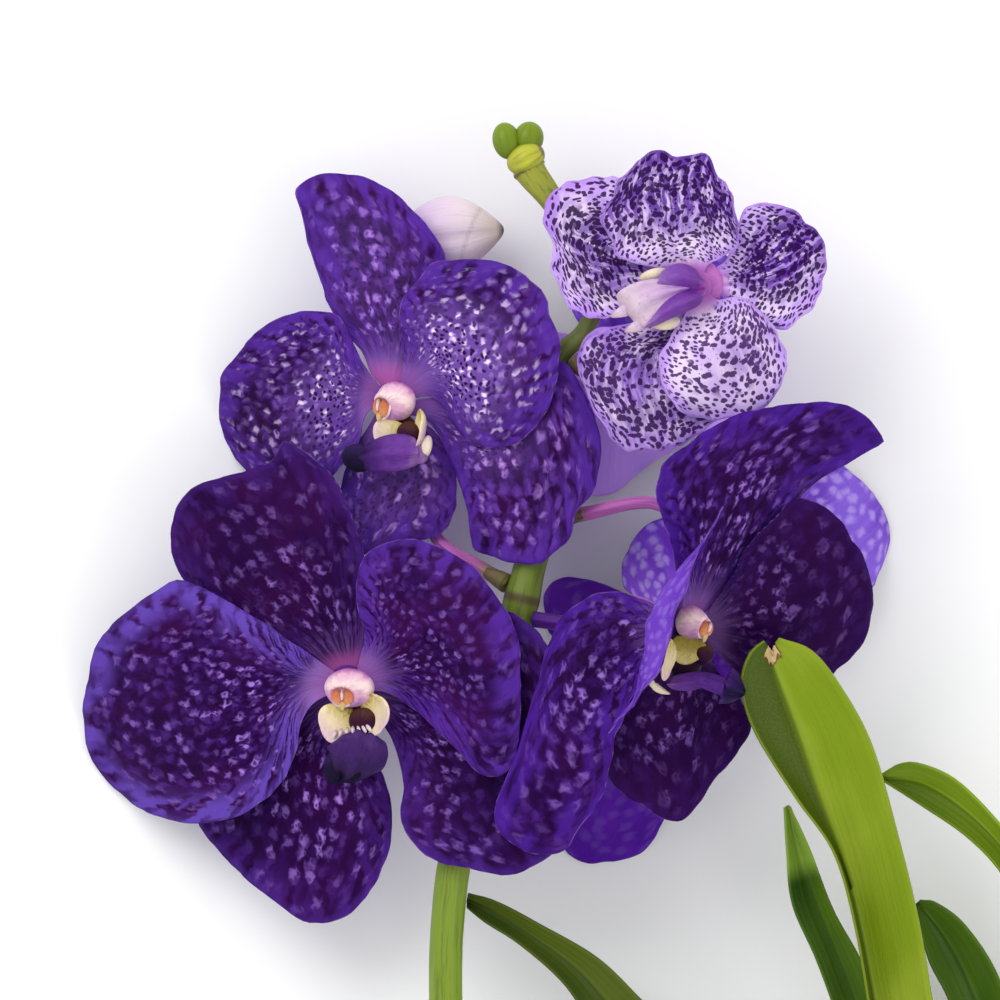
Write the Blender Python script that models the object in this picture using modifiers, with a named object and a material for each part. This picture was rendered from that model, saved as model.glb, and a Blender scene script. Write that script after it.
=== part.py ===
"""A cut flowering top of a vanda orchid, laid on a surface: six blooms, buds, flower stem and leaves.

The plan of the plant is drawn in millimetres, X to the right and Y up the flower stem, with Z the
height above the surface. Each tepal is a thin blade stretched across a rim of a few points, which are
given from the middle of its own bloom.
"""

import math

import bmesh
import bpy
from mathutils import Matrix, Vector

MM = 0.001

# Driving dimensions, in millimetres
TEPAL_THICKNESS = 0.8
LEAF_THICKNESS = 1.5
SEAT_GAP = 0.3
STEM_HEIGHT = 34.0
STEM_RADIUS = 4.0
PEDICEL_RADIUS = 1.5
LEAFY_STEM_RADIUS = 7.0
LEAFY_STEM_FLAT = 0.8
HUB_RADIUS = 3.4

# Middle of the footprint in the plan, which becomes the origin
FOOTPRINT_X = 50.5
FOOTPRINT_Y = -61.4

# Middles of the blooms: plan place and height of the level where the petals are fixed
HUB_A = Vector((-37.0, -45.0, 35.8))
HUB_B = Vector((-26.0, 23.5, 29.8))
HUB_C = Vector((46.0, -31.0, 64.0))
HUB_D = Vector((47.0, 51.5, 50.0))
HUB_E = Vector((33.5, 30.0, 23.5))
HUB_F = Vector((47.3, -33.6, 23.4))

# Directions that the blooms face
FACING_A = Vector((-0.28, -0.05, 1.0)).normalized()
FACING_B = Vector((-0.35, 0.0, 1.0)).normalized()
FACING_C = Vector((0.62, -0.1, 0.78)).normalized()
FACING_D = Vector((0.0, 0.0, 1.0))
FACING_DOWN = Vector((0.0, 0.0, -1.0))

# Levels of a bloom's seat: its petals, its sepals behind them, and the end of its pedicel
PETAL_LEVEL = -0.3
SEPAL_LEVEL = -1.5
HUB_LEVEL = -2.2

PURPLE = (0.062, 0.016, 0.190)
VIOLET = (0.150, 0.060, 0.420)
LILAC = (0.560, 0.430, 0.800)
BLUSH = (0.800, 0.560, 0.700)
LIP_VIOLET = (0.080, 0.020, 0.150)
PEDICEL_PINK = (0.560, 0.260, 0.560)
STEM_GREEN = (0.180, 0.290, 0.040)
LEAF_GREEN = (0.160, 0.280, 0.015)
DARK_LEAF_GREEN = (0.050, 0.130, 0.015)
BUD_WHITE = (0.800, 0.700, 0.720)
BUD_GREEN = (0.330, 0.370, 0.050)


def clear_scene():
    for obj in list(bpy.data.objects):
        bpy.data.objects.remove(obj)


def new_collection(name):
    collection = bpy.data.collections.new(name)
    bpy.context.scene.collection.children.link(collection)
    return collection


def plant_material(name, colour, roughness=0.5):
    material = bpy.data.materials.new(name)
    material.use_nodes = True
    shader = material.node_tree.nodes["Principled BSDF"]
    shader.inputs["Base Color"].default_value = (*colour, 1.0)
    shader.inputs["Roughness"].default_value = roughness
    return material


def placed(point):
    """A plan point in millimetres as a place in metres, from the middle of the footprint."""
    return Vector((point[0] - FOOTPRINT_X, point[1] - FOOTPRINT_Y, point[2])) * MM


def add_object(name, mesh, material):
    mesh.materials.clear()
    mesh.materials.append(material)
    obj = bpy.data.objects.new(name, mesh)
    parts.objects.link(obj)
    return obj


def curve_through(points, steps=8):
    """Points along a smooth curve through the given ones, which keep every steps-th place."""
    points = [Vector(point) for point in points]
    ends = [2 * points[0] - points[1], *points, 2 * points[-1] - points[-2]]
    curve = []
    for i in range(1, len(ends) - 2):
        before, start, end, after = ends[i - 1 : i + 3]
        for step in range(steps):
            t = step / steps
            pull = (2 * start + (end - before) * t + (2 * before - 5 * start + 4 * end - after) * t**2
                    + (3 * start - before - 3 * end + after) * t**3)
            curve.append(pull / 2)
    return [*curve, points[-1]]


def by_length(curve, count):
    """The curve's points at equal steps of its length."""
    lengths = [0.0]
    for start, end in zip(curve, curve[1:]):
        lengths.append(lengths[-1] + (end - start).length)
    found = []
    i = 0
    for step in range(count + 1):
        wanted = lengths[-1] * step / count
        while i < len(curve) - 2 and lengths[i + 1] < wanted:
            i += 1
        share = (wanted - lengths[i]) / max(lengths[i + 1] - lengths[i], 1e-9)
        found.append(curve[i].lerp(curve[i + 1], min(share, 1.0)))
    return found


def blade_point(rim, across, along, bulge):
    """A point of the blade stretched across a rim of four sides, and pushed out by its bulge."""
    start, end, side_a, side_b, u, v = *rim, across, along
    stretched = side_a * (1 - u) + side_b * u + start[0].lerp(start[1], u) * (1 - v) + end * v
    corners = (start[0] * (1 - u) + start[1] * u) * (1 - v) + (start[2] * (1 - u) + start[3] * u) * v
    return stretched - corners + bulge * math.sin(math.pi * u) * math.sin(math.pi * v) ** 2


def blade_mesh(name, side_a, tip, side_b, bulge, cells, middle):
    """An open sheet whose rim runs up side_a, over the tip and down side_b, split in triangles."""
    across, along = cells
    rim = curve_through([*side_a, *tip, *reversed(side_b)])
    steps = (len(rim) - 1) // (len(side_a) + len(tip) + len(side_b) - 1)
    turn_a = steps * (len(side_a) - 1)
    turn_b = steps * (len(side_a) + len(tip))
    line_a = by_length(rim[: turn_a + 1], along)
    line_tip = by_length(rim[turn_a : turn_b + 1], across)
    line_b = by_length(rim[turn_b:][::-1], along)
    corners = (line_a[0], line_b[0], line_a[-1], line_b[-1])
    bm = bmesh.new()
    bmesh.ops.create_grid(bm, x_segments=across, y_segments=along, size=0.5)
    for vertex in bm.verts:
        i = round((vertex.co.x + 0.5) * across)
        j = round((vertex.co.y + 0.5) * along)
        sides = (corners, line_tip[i], line_a[j], line_b[j])
        point = blade_point(sides, i / across, j / along, Vector(bulge))
        vertex.co = placed(middle + point)
    bmesh.ops.triangulate(bm, faces=bm.faces)
    mesh = bpy.data.meshes.new(name)
    bm.to_mesh(mesh)
    bm.free()
    return mesh


def on_seat(facing, point):
    """The first point of a rim, whose height is measured from the bloom's tilted seat."""
    x, y, height = point
    return x, y, height - (facing[0] * x + facing[1] * y) / facing[2]


def add_blade(name, middle, facing, material, side_a, tip, side_b, bulge=(0, 0, 2), cells=(6, 6)):
    """A petal or sepal: the stretched sheet given its thickness, half to each side."""
    side_a = [on_seat(facing, side_a[0]), *side_a[1:]]
    side_b = [on_seat(facing, side_b[0]), *side_b[1:]]
    obj = add_object(name, blade_mesh(name, side_a, tip, side_b, bulge, cells, middle), material)
    solidify = obj.modifiers.new("thickness", "SOLIDIFY")
    solidify.thickness = TEPAL_THICKNESS * MM
    solidify.offset = 0
    return obj


def add_leaf(name, material, left, keel, right, cells=(4, 10)):
    """A strap leaf folded along its keel: a sheet lofted across three lines from base to tip."""
    across, along = cells
    lines = [by_length(curve_through(line), along) for line in (left, keel, right)]
    bm = bmesh.new()
    bmesh.ops.create_grid(bm, x_segments=across, y_segments=along, size=0.5)
    for vertex in bm.verts:
        u = vertex.co.x + 0.5
        j = round((vertex.co.y + 0.5) * along)
        half = lines[0][j].lerp(lines[1][j], 2 * u) if u < 0.5 else lines[1][j].lerp(lines[2][j], 2 * u - 1)
        vertex.co = placed(half)
    bmesh.ops.triangulate(bm, faces=bm.faces)
    mesh = bpy.data.meshes.new(name)
    bm.to_mesh(mesh)
    bm.free()
    obj = add_object(name, mesh, material)
    solidify = obj.modifiers.new("thickness", "SOLIDIFY")
    solidify.thickness = LEAF_THICKNESS * MM
    solidify.offset = 0
    return obj


def add_tube(name, material, route, sides=2, spacing=9.0):
    """A round stem along a smooth route of (x, y, height, radius) points, with closed ends."""
    guide = curve_through([point[:3] for point in route])
    thickness = curve_through([(point[3], 0, 0) for point in route])
    length = sum((b - a).length for a, b in zip(guide, guide[1:]))
    count = max(4, round(length / spacing))
    curve = bpy.data.curves.new(name, "CURVE")
    curve.dimensions = "3D"
    curve.bevel_depth = MM
    curve.bevel_resolution = sides
    curve.use_fill_caps = True
    spline = curve.splines.new("POLY")
    spline.points.add(count)
    for i, point in enumerate(spline.points):
        at = i * (len(guide) - 1) / count
        low = min(int(at), len(guide) - 2)
        point.co = (*placed(guide[low].lerp(guide[low + 1], at - low)), 1)
        point.radius = thickness[low].lerp(thickness[low + 1], at - low).x
    obj = bpy.data.objects.new(name, curve)
    obj.data.materials.append(material)
    parts.objects.link(obj)
    return obj


def as_mesh(obj):
    """The object's evaluated shape as a mesh object in its place, with its caps welded."""
    graph = bpy.context.evaluated_depsgraph_get()
    mesh = bpy.data.meshes.new_from_object(obj.evaluated_get(graph))
    bm = bmesh.new()
    bm.from_mesh(mesh)
    bmesh.ops.remove_doubles(bm, verts=bm.verts, dist=1e-7)
    bmesh.ops.triangulate(bm, faces=bm.faces)
    bmesh.ops.dissolve_degenerate(bm, dist=2e-5, edges=bm.edges)
    bm.to_mesh(mesh)
    bm.free()
    name, material = obj.name, obj.data.materials[0]
    bpy.data.objects.remove(obj)
    made = add_object(name, mesh, material)
    made.name = name
    return made


def egg(middle, frame, offset, radii, segments=(10, 7)):
    """A mesh of an egg-shaped body, placed by its offset along the axes of a frame."""
    bm = bmesh.new()
    bmesh.ops.create_uvsphere(bm, u_segments=segments[0], v_segments=segments[1], radius=1)
    for vertex in bm.verts:
        local = Vector([offset[i] + vertex.co[i] * radii[i] for i in range(3)])
        vertex.co = placed(middle + frame @ local)
    mesh = bpy.data.meshes.new("egg")
    bm.to_mesh(mesh)
    bm.free()
    return mesh


def foot(middle, frame, radius, low, high):
    """A mesh of the round foot that a column stands on, between two heights above its seat."""
    bm = bmesh.new()
    bmesh.ops.create_cone(bm, cap_ends=True, segments=12, radius1=radius, radius2=radius * 0.8, depth=1)
    for vertex in bm.verts:
        local = Vector((vertex.co.x, vertex.co.y, low + (vertex.co.z + 0.5) * (high - low)))
        vertex.co = placed(middle + frame @ local)
    mesh = bpy.data.meshes.new("foot")
    bm.to_mesh(mesh)
    bm.free()
    return mesh


def bloom_frame(heading, facing):
    """Axes of a bloom: along its lip, across it, and out of its face."""
    out = Vector(facing).normalized()
    along = Vector((math.cos(math.radians(heading)), math.sin(math.radians(heading)), 0))
    along = (along - out * along.dot(out)).normalized()
    across = out.cross(along)
    return Matrix((along, across, out)).transposed()


def fuse(name, meshes, material, cut_by=()):
    """One body from meshes that overlap, less any that cut it."""
    helpers = new_collection(name + "_helpers")
    base = add_object(name, meshes[0], material)
    others = [bpy.data.objects.new(f"{name}_part_{i}", mesh) for i, mesh in enumerate(meshes[1:])]
    for other in others:
        helpers.objects.link(other)
    join = base.modifiers.new("join", "BOOLEAN")
    join.operation = "UNION"
    join.solver = "EXACT"
    join.operand_type = "COLLECTION"
    join.collection = helpers
    fused = as_mesh(base) if others else base
    for other in others:
        bpy.data.objects.remove(other)
    for i, mesh in enumerate(cut_by):
        cutter = bpy.data.objects.new(f"{name}_cutter_{i}", mesh)
        helpers.objects.link(cutter)
        cut = fused.modifiers.new("cut", "BOOLEAN")
        cut.operation = "DIFFERENCE"
        cut.solver = "EXACT"
        cut.object = cutter
        fused = as_mesh(fused)
        bpy.data.objects.remove(cutter)
    for modifier in list(fused.modifiers):
        fused.modifiers.remove(modifier)
    bpy.data.collections.remove(helpers)
    return fused


def add_column_and_lip(bloom, middle, heading, facing, lobes):
    """The column with its cap, and the lip of one throat, two side lobes and a middle lobe."""
    frame = bloom_frame(heading, facing)
    hood = ((-0.5, 0.0, 5.2), (4.8, 6.0, 4.5))
    cap = ((2.2, 0.0, 8.2), (2.4, 2.4, 2.0))
    column = [egg(middle, frame, *hood, (12, 8)), egg(middle, frame, *cap, (8, 6)),
              foot(middle, frame, HUB_RADIUS, 0.62, 3.6)]
    fuse(f"{bloom}_column", column, blush)
    clear = [(offset, [radius + SEAT_GAP for radius in radii]) for offset, radii in (hood, cap)]
    cutters = [egg(middle, frame, *shape, (12, 8)) for shape in clear]
    cutters.append(foot(middle, frame, HUB_RADIUS + SEAT_GAP, 0, 4))
    lip = [egg(middle, frame, *lobe, (9, 6)) for lobe in lobes]
    fuse(f"{bloom}_lip", lip, lip_violet, cutters)


def hub_end(middle, facing):
    """The last points of a pedicel, which widens behind the seat that it carries."""
    neck = middle + facing * (HUB_LEVEL - 4.5)
    flare = middle + facing * (HUB_LEVEL - 1.2)
    end = middle + facing * HUB_LEVEL
    return [(*neck, PEDICEL_RADIUS), (*flare, HUB_RADIUS - 0.6), (*end, HUB_RADIUS)]


FACING_LIP = (
    ((8.0, 1.8, 4.2), (5.0, 5.5, 2.8)),
    ((9.0, -3.2, 5.4), (4.4, 3.6, 3.4)),
    ((8.6, 7.2, 5.4), (4.4, 3.0, 3.4)),
    ((16.4, 2.6, 5.6), (6.2, 7.2, 2.6)),
)


def bloom_a():
    """The large bloom in front, at the lower left, whose left rim reaches the surface."""
    add_blade(
        "bloom_a_petal_left", HUB_A, FACING_A, purple,
        [(-2.5, 3.5, PETAL_LEVEL), (-6, 6, 0), (-13, 11, 1.5), (-24, 18, -1), (-39, 25.5, -9)],
        [(-46, 23, -12), (-53, 18, -17), (-60, 11, -23), (-62.5, 2, -28), (-64, -6, -32),
         (-62, -17, -35.4), (-54.5, -26.5, -33)],
        [(-2.5, -1, PETAL_LEVEL), (-8, -4, .5), (-11, -9, 1.5), (-12, -15, 2), (-15, -22, 1),
         (-21, -28, -2), (-27.5, -31.5, -7), (-37, -33, -15), (-46.5, -31, -25)],
        (0, 0, 4), (8, 8),
    )
    add_blade(
        "bloom_a_petal_right", HUB_A, FACING_A, purple,
        [(2.5, 3.5, PETAL_LEVEL), (4.3, 12, 1), (3, 20, 1.5), (2.6, 26, 1.3), (4, 31, 1.5), (8, 34, 3)],
        [(14.6, 35.8, 5), (20, 35, 7), (26.6, 31.7, 9.5), (32, 27.6, 11.5), (36, 22, 12.5),
         (40, 15, 13), (42, 7, 13), (42.2, -3.4, 13)],
        [(2.5, -.6, PETAL_LEVEL), (6.7, -.8, .5), (10.8, -1.7, 2), (17, -5.8, 5), (22.6, -10.6, 8),
         (28, -16, 11), (32, -20.4, 12), (37.4, -21, 12.4), (41, -16, 12.8)],
        (0, 0, 2), (8, 8),
    )
    add_blade(
        "bloom_a_sepal_top", HUB_A, FACING_A, purple,
        [(-1.9, 3.2, SEPAL_LEVEL), (-8, 5, -2.4), (-18, 9, -4.5), (-30, 15, -9.5), (-39, 25.4, -13)],
        [(-42, 33, -14), (-41.5, 41.3, -14), (-38.6, 46.8, -13), (-33, 49.7, -11),
         (-23.5, 52.3, -7), (-17.5, 55, -5), (-15.5, 59, -4.5), (-12, 57.8, -3)],
        [(1.9, 3.2, SEPAL_LEVEL), (4.5, 10, -1.6), (6, 20, -1.4), (5, 28, -1.2), (3, 36, -.8), (.6, 43.7, -.2),
         (-3, 50, 0), (-8, 55, -1)],
        (0, 0, 1), (7, 8),
    )
    add_blade(
        "bloom_a_sepal_left", HUB_A, FACING_A, purple,
        [(-3.4, -1.4, SEPAL_LEVEL), (-9, -7, -3), (-18, -12, -7), (-28, -19, -16), (-35, -28, -24)],
        [(-36, -33.6, -26), (-31, -39.5, -22), (-24, -46.5, -17), (-18, -51, -14.5),
         (-12.5, -55.5, -11.5), (-9, -57, -10.5), (-3.6, -56.6, -8), (2, -53.5, -6)],
        [(-.6, -3.2, SEPAL_LEVEL), (4, -9, -2.6), (7.4, -18.5, -3), (9.8, -24, -3.5), (11, -31, -4),
         (10.3, -38.4, -4), (7.4, -46.3, -4.5)],
        (0, 0, 2), (7, 7),
    )
    add_blade(
        "bloom_a_sepal_right", HUB_A, FACING_A, purple,
        [(1.4, -2.9, SEPAL_LEVEL), (6.7, -6, -1), (9.8, -10.6, 0), (12.2, -15.4, 1), (13.9, -23.3, 2),
         (13.2, -29.5, 2.5), (14.6, -34.5, 3), (18, -39, 4)],
        [(21.5, -41.5, 5), (30, -43.4, 6), (40, -45, 6.5), (45.6, -42.4, 8), (50.4, -39.4, 9),
         (55, -32, 10), (56, -17, 11)],
        [(3.6, .4, SEPAL_LEVEL), (15, 6, 1), (28, 14, 5), (38, 18, 8.5), (42, 16.4, 9.5), (47.5, 11.5, 10),
         (54, -1, 11)],
        (0, 0, 0), (8, 7),
    )
    add_column_and_lip("bloom_a", HUB_A, 268, FACING_A, FACING_LIP)


def bloom_b():
    """The bloom at the upper left, whose left petal reaches the surface."""
    add_blade(
        "bloom_b_sepal_top", HUB_B, FACING_B, purple,
        [(-1.9, 3.2, SEPAL_LEVEL), (-5, 7, -1.6), (-7.4, 12, -1.6), (-10, 17, -1.6), (-13, 22, -2.4),
         (-18, 31, -4), (-20.6, 39.4, -6), (-22, 46.6, -8)],
        [(-23, 51.5, -10), (-18.5, 54.5, -9), (-12.7, 55.2, -7), (-6, 54, -5), (.2, 50.6, -3),
         (5, 46.6, -1.5)],
        [(1.9, 3.2, SEPAL_LEVEL), (8, 14, -.8), (12, 26, 0), (12.7, 34.3, .4), (11.8, 37, .4), (9, 42, -.2)],
        (0, 0, 2), (6, 8),
    )
    add_blade(
        "bloom_b_petal_left", HUB_B, FACING_B, purple,
        [(-2.5, 3.4, PETAL_LEVEL), (-7.2, 9.8, .5), (-11, 18.2, .5), (-13.2, 21, 0), (-19, 22, -1.5),
         (-23.5, 21.8, -3.5), (-29, 19.4, -7)],
        [(-34, 15.6, -12), (-37.2, 11.8, -17), (-41, 7.2, -22), (-41.5, 3, -25),
         (-42.2, -2.4, -28), (-41.5, -7, -29.4), (-39, -12, -28)],
        [(-2.5, -1, PETAL_LEVEL), (-5.3, -1.7, 0), (-7, -4.8, PETAL_LEVEL), (-7.6, -9.4, -1), (-10, -13.2, -2),
         (-14, -17.5, -5), (-22, -23, -12), (-30, -21, -20), (-35.5, -16, -25)],
        (0, 0, 4), (8, 7),
    )
    add_blade(
        "bloom_b_petal_right", HUB_B, FACING_B, purple,
        [(2, 4.2, PETAL_LEVEL), (3, 13, 1.5), (1.6, 19.4, 2.5), (3, 25, 3), (6.5, 29.5, 3.5),
         (9.8, 33.4, 4.5)],
        [(14.4, 34.3, 6), (22, 34.3, 8), (28, 32.6, 10), (33.6, 29, 12), (37, 25, 13),
         (37.6, 20.9, 13.5), (40, 15.6, 14), (40, 8, 14), (38.2, .2, 13)],
        [(2.5, .6, PETAL_LEVEL), (5.3, 1, .3), (9, 1.4, 1.5), (12, -.6, 3), (14, -4.5, 4.2),
         (18.4, -9.4, 6), (23.3, -11, 8), (30, -9.8, 10), (33.8, -6.2, 11.5)],
        (0, 0, 2), (8, 8),
    )
    add_blade(
        "bloom_b_sepal_left", HUB_B, FACING_B, purple,
        [(-3.2, -1.6, SEPAL_LEVEL), (-8, -10, -5), (-11.5, -18, -9.5), (-13.5, -29, -11)],
        [(-11, -37, -9), (-6, -36.4, -6.5), (-1, -34, -4.5), (3.5, -33, -3.5), (8, -33, -3)],
        [(-.2, -3.4, SEPAL_LEVEL), (5, -6, -2), (9, -10, -2.4), (13, -16.6, -2), (15.6, -22.3, -1.5),
         (15.2, -26.2, -1.5), (12.5, -31, -2)],
        (0, 0, 1), (6, 6),
    )
    add_blade(
        "bloom_b_sepal_right", HUB_B, FACING_B, purple,
        [(1.8, -3, SEPAL_LEVEL), (7.2, -3.6, -.8), (10.6, -7, -.2), (13.7, -12.7, 1), (16.3, -20.4, 2.5),
         (18.2, -26.2, 4), (19.2, -32, 5), (20, -35.5, 5.5)],
        [(24, -37, 7.5), (28, -38.6, 9.5), (35, -38.9, 11), (39.4, -36, 12), (43, -32, 12.5),
         (44.3, -27, 12.5)],
        [(3.8, .4, SEPAL_LEVEL), (15, 2, 1), (30, 6, 6), (40, 10, 9.5), (44, 6.7, 10.5), (47.8, -1, 11),
         (50.2, -10, 11.5), (49.7, -16, 12), (47.8, -21.6, 12.5)],
        (0, 0, 1), (7, 8),
    )
    add_column_and_lip("bloom_b", HUB_B, 255, FACING_B, FACING_LIP)


def bloom_c():
    """The bloom on the right, turned to the right, with its left petal standing up."""
    add_blade(
        "bloom_c_sepal_top", HUB_C, FACING_C, purple,
        [(-1.6, 3, SEPAL_LEVEL), (-3, 10, 1), (-4.2, 17, 4), (-6, 23, 6), (-8.2, 29, 7.5),
         (-8.9, 34.3, 8.5), (-7.2, 39.6, 8)],
        [(-2, 44.2, 7), (6.5, 49.7, 5), (15.6, 52.6, 2), (27, 54.2, -3), (35, 54, -7),
         (40, 52, -10.5), (43.6, 48.7, -13), (45, 44.6, -16)],
        [(1.6, 3, SEPAL_LEVEL), (8, 9, -7.6), (14, 18, -10.1), (19, 26, -11.3), (22.6, 31, -11.4),
         (27, 35.8, -12), (33, 39.6, -13.2), (38.6, 43, -15)],
        (0, 0, 3), (7, 8),
    )
    add_blade(
        "bloom_c_petal_left", HUB_C, FACING_C, violet,
        [(-2.6, 2.6, PETAL_LEVEL), (-2, 10, 4), (2, 19, 7), (5.5, 26, 10)],
        [(7.4, 29.6, 13), (5.8, 26.4, 16), (4, 23.5, 18), (.2, 16.6, 21), (-1.9, 9.8, 23),
         (-4.3, 4.3, 24), (-5.8, -3.1, 24), (-8.9, -10.8, 22), (-12.7, -15.4, 18),
         (-17.3, -21.6, 12)],
        [(-2.6, -1.4, PETAL_LEVEL), (-7, -8, 3.4), (-13, -16, 5), (-18.5, -22.5, 7), (-20.4, -24.4, 9)],
        (-7, 0, 2), (8, 6),
    )
    add_blade(
        "bloom_c_petal_right", HUB_C, FACING_C, purple,
        [(2.4, 2.4, PETAL_LEVEL), (8.5, 12, -2.3), (14, 21, -2.6), (20, 27.4, -4.8)],
        [(24.7, 31, -8), (29.3, 30.5, -10.4), (35.5, 26, -14), (40, 19.7, -17),
         (42.5, 13.7, -19.5), (43.2, 7.4, -21), (42, .5, -22)],
        [(2.4, -1.6, PETAL_LEVEL), (10.8, -10.5, -9), (19, -16.5, -13), (28.8, -15, -16.5),
         (34, -10, -19), (38.6, -5.5, -21)],
        (0, 0, 3), (8, 7),
    )
    add_blade(
        "bloom_c_sepal_left", HUB_C, FACING_C, purple,
        [(-3.4, .8, SEPAL_LEVEL), (-9, 6, 1.4), (-15.8, 8.6, -4), (-19.7, 9.1, -5), (-23.5, 8.2, -6),
         (-28.8, 5.3, -8), (-33.4, -1, -9.6), (-36.5, -9.4, -10.4), (-38.6, -18.5, -11),
         (-40.5, -26.2, -11.4)],
        [(-44.9, -36, -12.4), (-47, -43.9, -13), (-45.8, -48.7, -13.5), (-40, -52.8, -13.5),
         (-36, -53.8, -13), (-31, -52.6, -12.5)],
        [(-2.4, -2.4, SEPAL_LEVEL), (-9, -8.5, .2), (-14.5, -16.5, -5), (-19, -24.7, -7),
         (-19.7, -32.4, -8), (-21, -38.5, -9), (-25, -45.4, -11)],
        (0, 0, 2), (7, 9),
    )
    add_blade(
        "bloom_c_sepal_right", HUB_C, FACING_C, purple,
        [(-1.2, -3.2, SEPAL_LEVEL), (-7, -11, -6), (-13, -19, -10), (-18, -26, -13), (-20, -34.6, -14)],
        [(-16.6, -39.1, -14.5), (-10.3, -43, -15), (-5.8, -45.6, -16), (-2.6, -46, -16),
         (.4, -43, -15.5), (3.6, -37.7, -15), (8, -32.4, -15)],
        [(1.8, -3, SEPAL_LEVEL), (6, -9, -9.5), (11, -16, -14), (14.8, -23, -16), (13, -27, -16)],
        (0, 0, 1), (6, 7),
    )
    lobes = (
        ((7.0, 0.0, 5.0), (5.0, 4.6, 3.0)),
        ((7.0, -5.0, 7.0), (3.6, 3.0, 3.8)),
        ((7.0, 5.0, 7.0), (3.6, 3.0, 3.8)),
        ((11.0, 0.0, 10.5), (4.4, 5.4, 6.6)),
    )
    add_column_and_lip("bloom_c", HUB_C, 262, FACING_C, lobes)


def bloom_d():
    """The white bloom with dark spots, at the upper right."""
    add_blade(
        "bloom_d_sepal_left", HUB_D, FACING_D, lilac,
        [(-2.6, 2.2, SEPAL_LEVEL), (-12, 5, -2.4), (-17, 13, -3), (-17.3, 22, -3.6)],
        [(-19, 25.6, -4), (-27, 25.4, -5), (-32, 24, -6), (-35.3, 20.6, -7), (-36.6, 15.6, -7),
         (-34.8, 10, -7), (-34.6, 4, -6), (-32.6, -1, -6)],
        [(-3.2, -1, SEPAL_LEVEL), (-10.8, 0, -2), (-15.6, -3, -3), (-18.5, -6.3, -3.5),
         (-22.3, -8, -4), (-26, -7.6, -5), (-30, -5.2, -5.5)],
        (0, 0, 0), (7, 7),
    )
    add_blade(
        "bloom_d_petal_top", HUB_D, FACING_D, lilac,
        [(-2.4, 1.6, PETAL_LEVEL), (-8, 4, .6), (-15, 5, 1.5), (-19.7, 7.5, 1), (-20.4, 11, 1),
         (-22.6, 15, .4), (-21.6, 18.7, .4), (-19.3, 23.5, 0)],
        [(-16, 27.8, -.5), (-11.8, 31.2, -1), (-8.2, 31.9, -1), (-4.6, 30.7, -.5),
         (-.7, 31.7, -1), (2.9, 30.5, -.5), (5.4, 26.2, .5), (7.7, 23, 1)],
        [(1.6, 2.2, PETAL_LEVEL), (3, 5, .2), (6, 6.6, .6), (9, 8.9, 1.5), (10.3, 13.9, 1.5),
         (9.6, 18, 1)],
        (0, 0, 2), (8, 6),
    )
    add_blade(
        "bloom_d_sepal_right", HUB_D, FACING_D, lilac,
        [(2.2, 2.4, SEPAL_LEVEL), (8, 7, -2), (10, 14, -2.2), (11.6, 18, -2.2), (15, 19.8, -2)],
        [(20, 19.4, -2), (25.4, 16.3, -2.5), (29.8, 11.5, -3), (31.2, 5, -3.5),
         (29.8, -2.2, -4)],
        [(3.2, -1, SEPAL_LEVEL), (8, -4, -2.6), (13, -8, -3.4), (19.5, -10.4, -3.5),
         (23.2, -9.4, -3.5), (27, -6.5, -4)],
        (0, 0, 1), (6, 7),
    )
    add_blade(
        "bloom_d_petal_bottom", HUB_D, FACING_D, lilac,
        [(2.6, -1, PETAL_LEVEL), (5, -3.6, .2), (8.6, -3, 1.5), (13.2, -4, 2), (16.3, -7, 1.5),
         (19.4, -11.8, 1)],
        [(21.4, -16.8, 0), (20.9, -22.8, -1), (18.2, -27.1, -2), (13.2, -31, -2.5),
         (7.2, -32.4, -2.5), (1.7, -31.7, -2), (-2.6, -31, -1)],
        [(-1, -2.8, PETAL_LEVEL), (-2.6, -6.5, .2), (-4.6, -10, 1.5), (-7.4, -14.4, 2),
         (-9.1, -18.7, 1.5), (-7.9, -24, 1), (-6, -28, 0)],
        (0, 0, 2), (8, 7),
    )
    add_blade(
        "bloom_d_sepal_bottom", HUB_D, FACING_D, lilac,
        [(.8, -3.2, SEPAL_LEVEL), (2, -12, -2.6), (4.4, -22, -3.4), (5, -30, -5)],
        [(3.4, -34, -5), (-1.4, -37, -5), (-6.2, -38.9, -5), (-11.3, -40.2, -5.5),
         (-15.6, -40.2, -5.5), (-18.6, -38.6, -5.5)],
        [(-2, -2.8, SEPAL_LEVEL), (-11, -6.4, -2.6), (-17, -9.4, -3.8), (-22.8, -10, -4.6),
         (-25.4, -11.6, -4.6), (-28.2, -16, -5), (-28.6, -20, -5), (-27, -24, -5),
         (-24, -30.2, -5), (-21, -35.6, -5.5)],
        (0, 0, 0), (6, 8),
    )
    lobes = (
        ((7.0, 0.0, 4.2), (5.0, 4.6, 2.8)),
        ((7.0, -5.6, 5.2), (4.2, 2.6, 3.2)),
        ((7.0, 5.6, 5.2), (4.2, 2.6, 3.2)),
        ((14.0, 0.0, 5.6), (6.6, 4.8, 2.8)),
    )
    add_column_and_lip("bloom_d", HUB_D, 205, FACING_D, lobes)


def hidden_tepal(direction, length, half_width, level, drop):
    """Rim of a plain tepal that runs out at a direction in degrees and bends down by its drop."""
    turn = Matrix.Rotation(math.radians(direction), 3, "Z")
    share = ((0.08, 0.2, 0.0), (0.38, 0.75, 0.15), (0.66, 1.0, 0.45))
    end = ((0.9, 0.78, 0.8), (1.0, 0.3, 1.0), (1.0, -0.3, 1.0), (0.9, -0.78, 0.8))
    side_a = [turn @ Vector((a * length, b * half_width, level - c * drop)) for a, b, c in share]
    side_b = [turn @ Vector((a * length, -b * half_width, level - c * drop)) for a, b, c in share]
    tip = [turn @ Vector((a * length, b * half_width, level - c * drop)) for a, b, c in end]
    return side_a, tip, side_b


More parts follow.
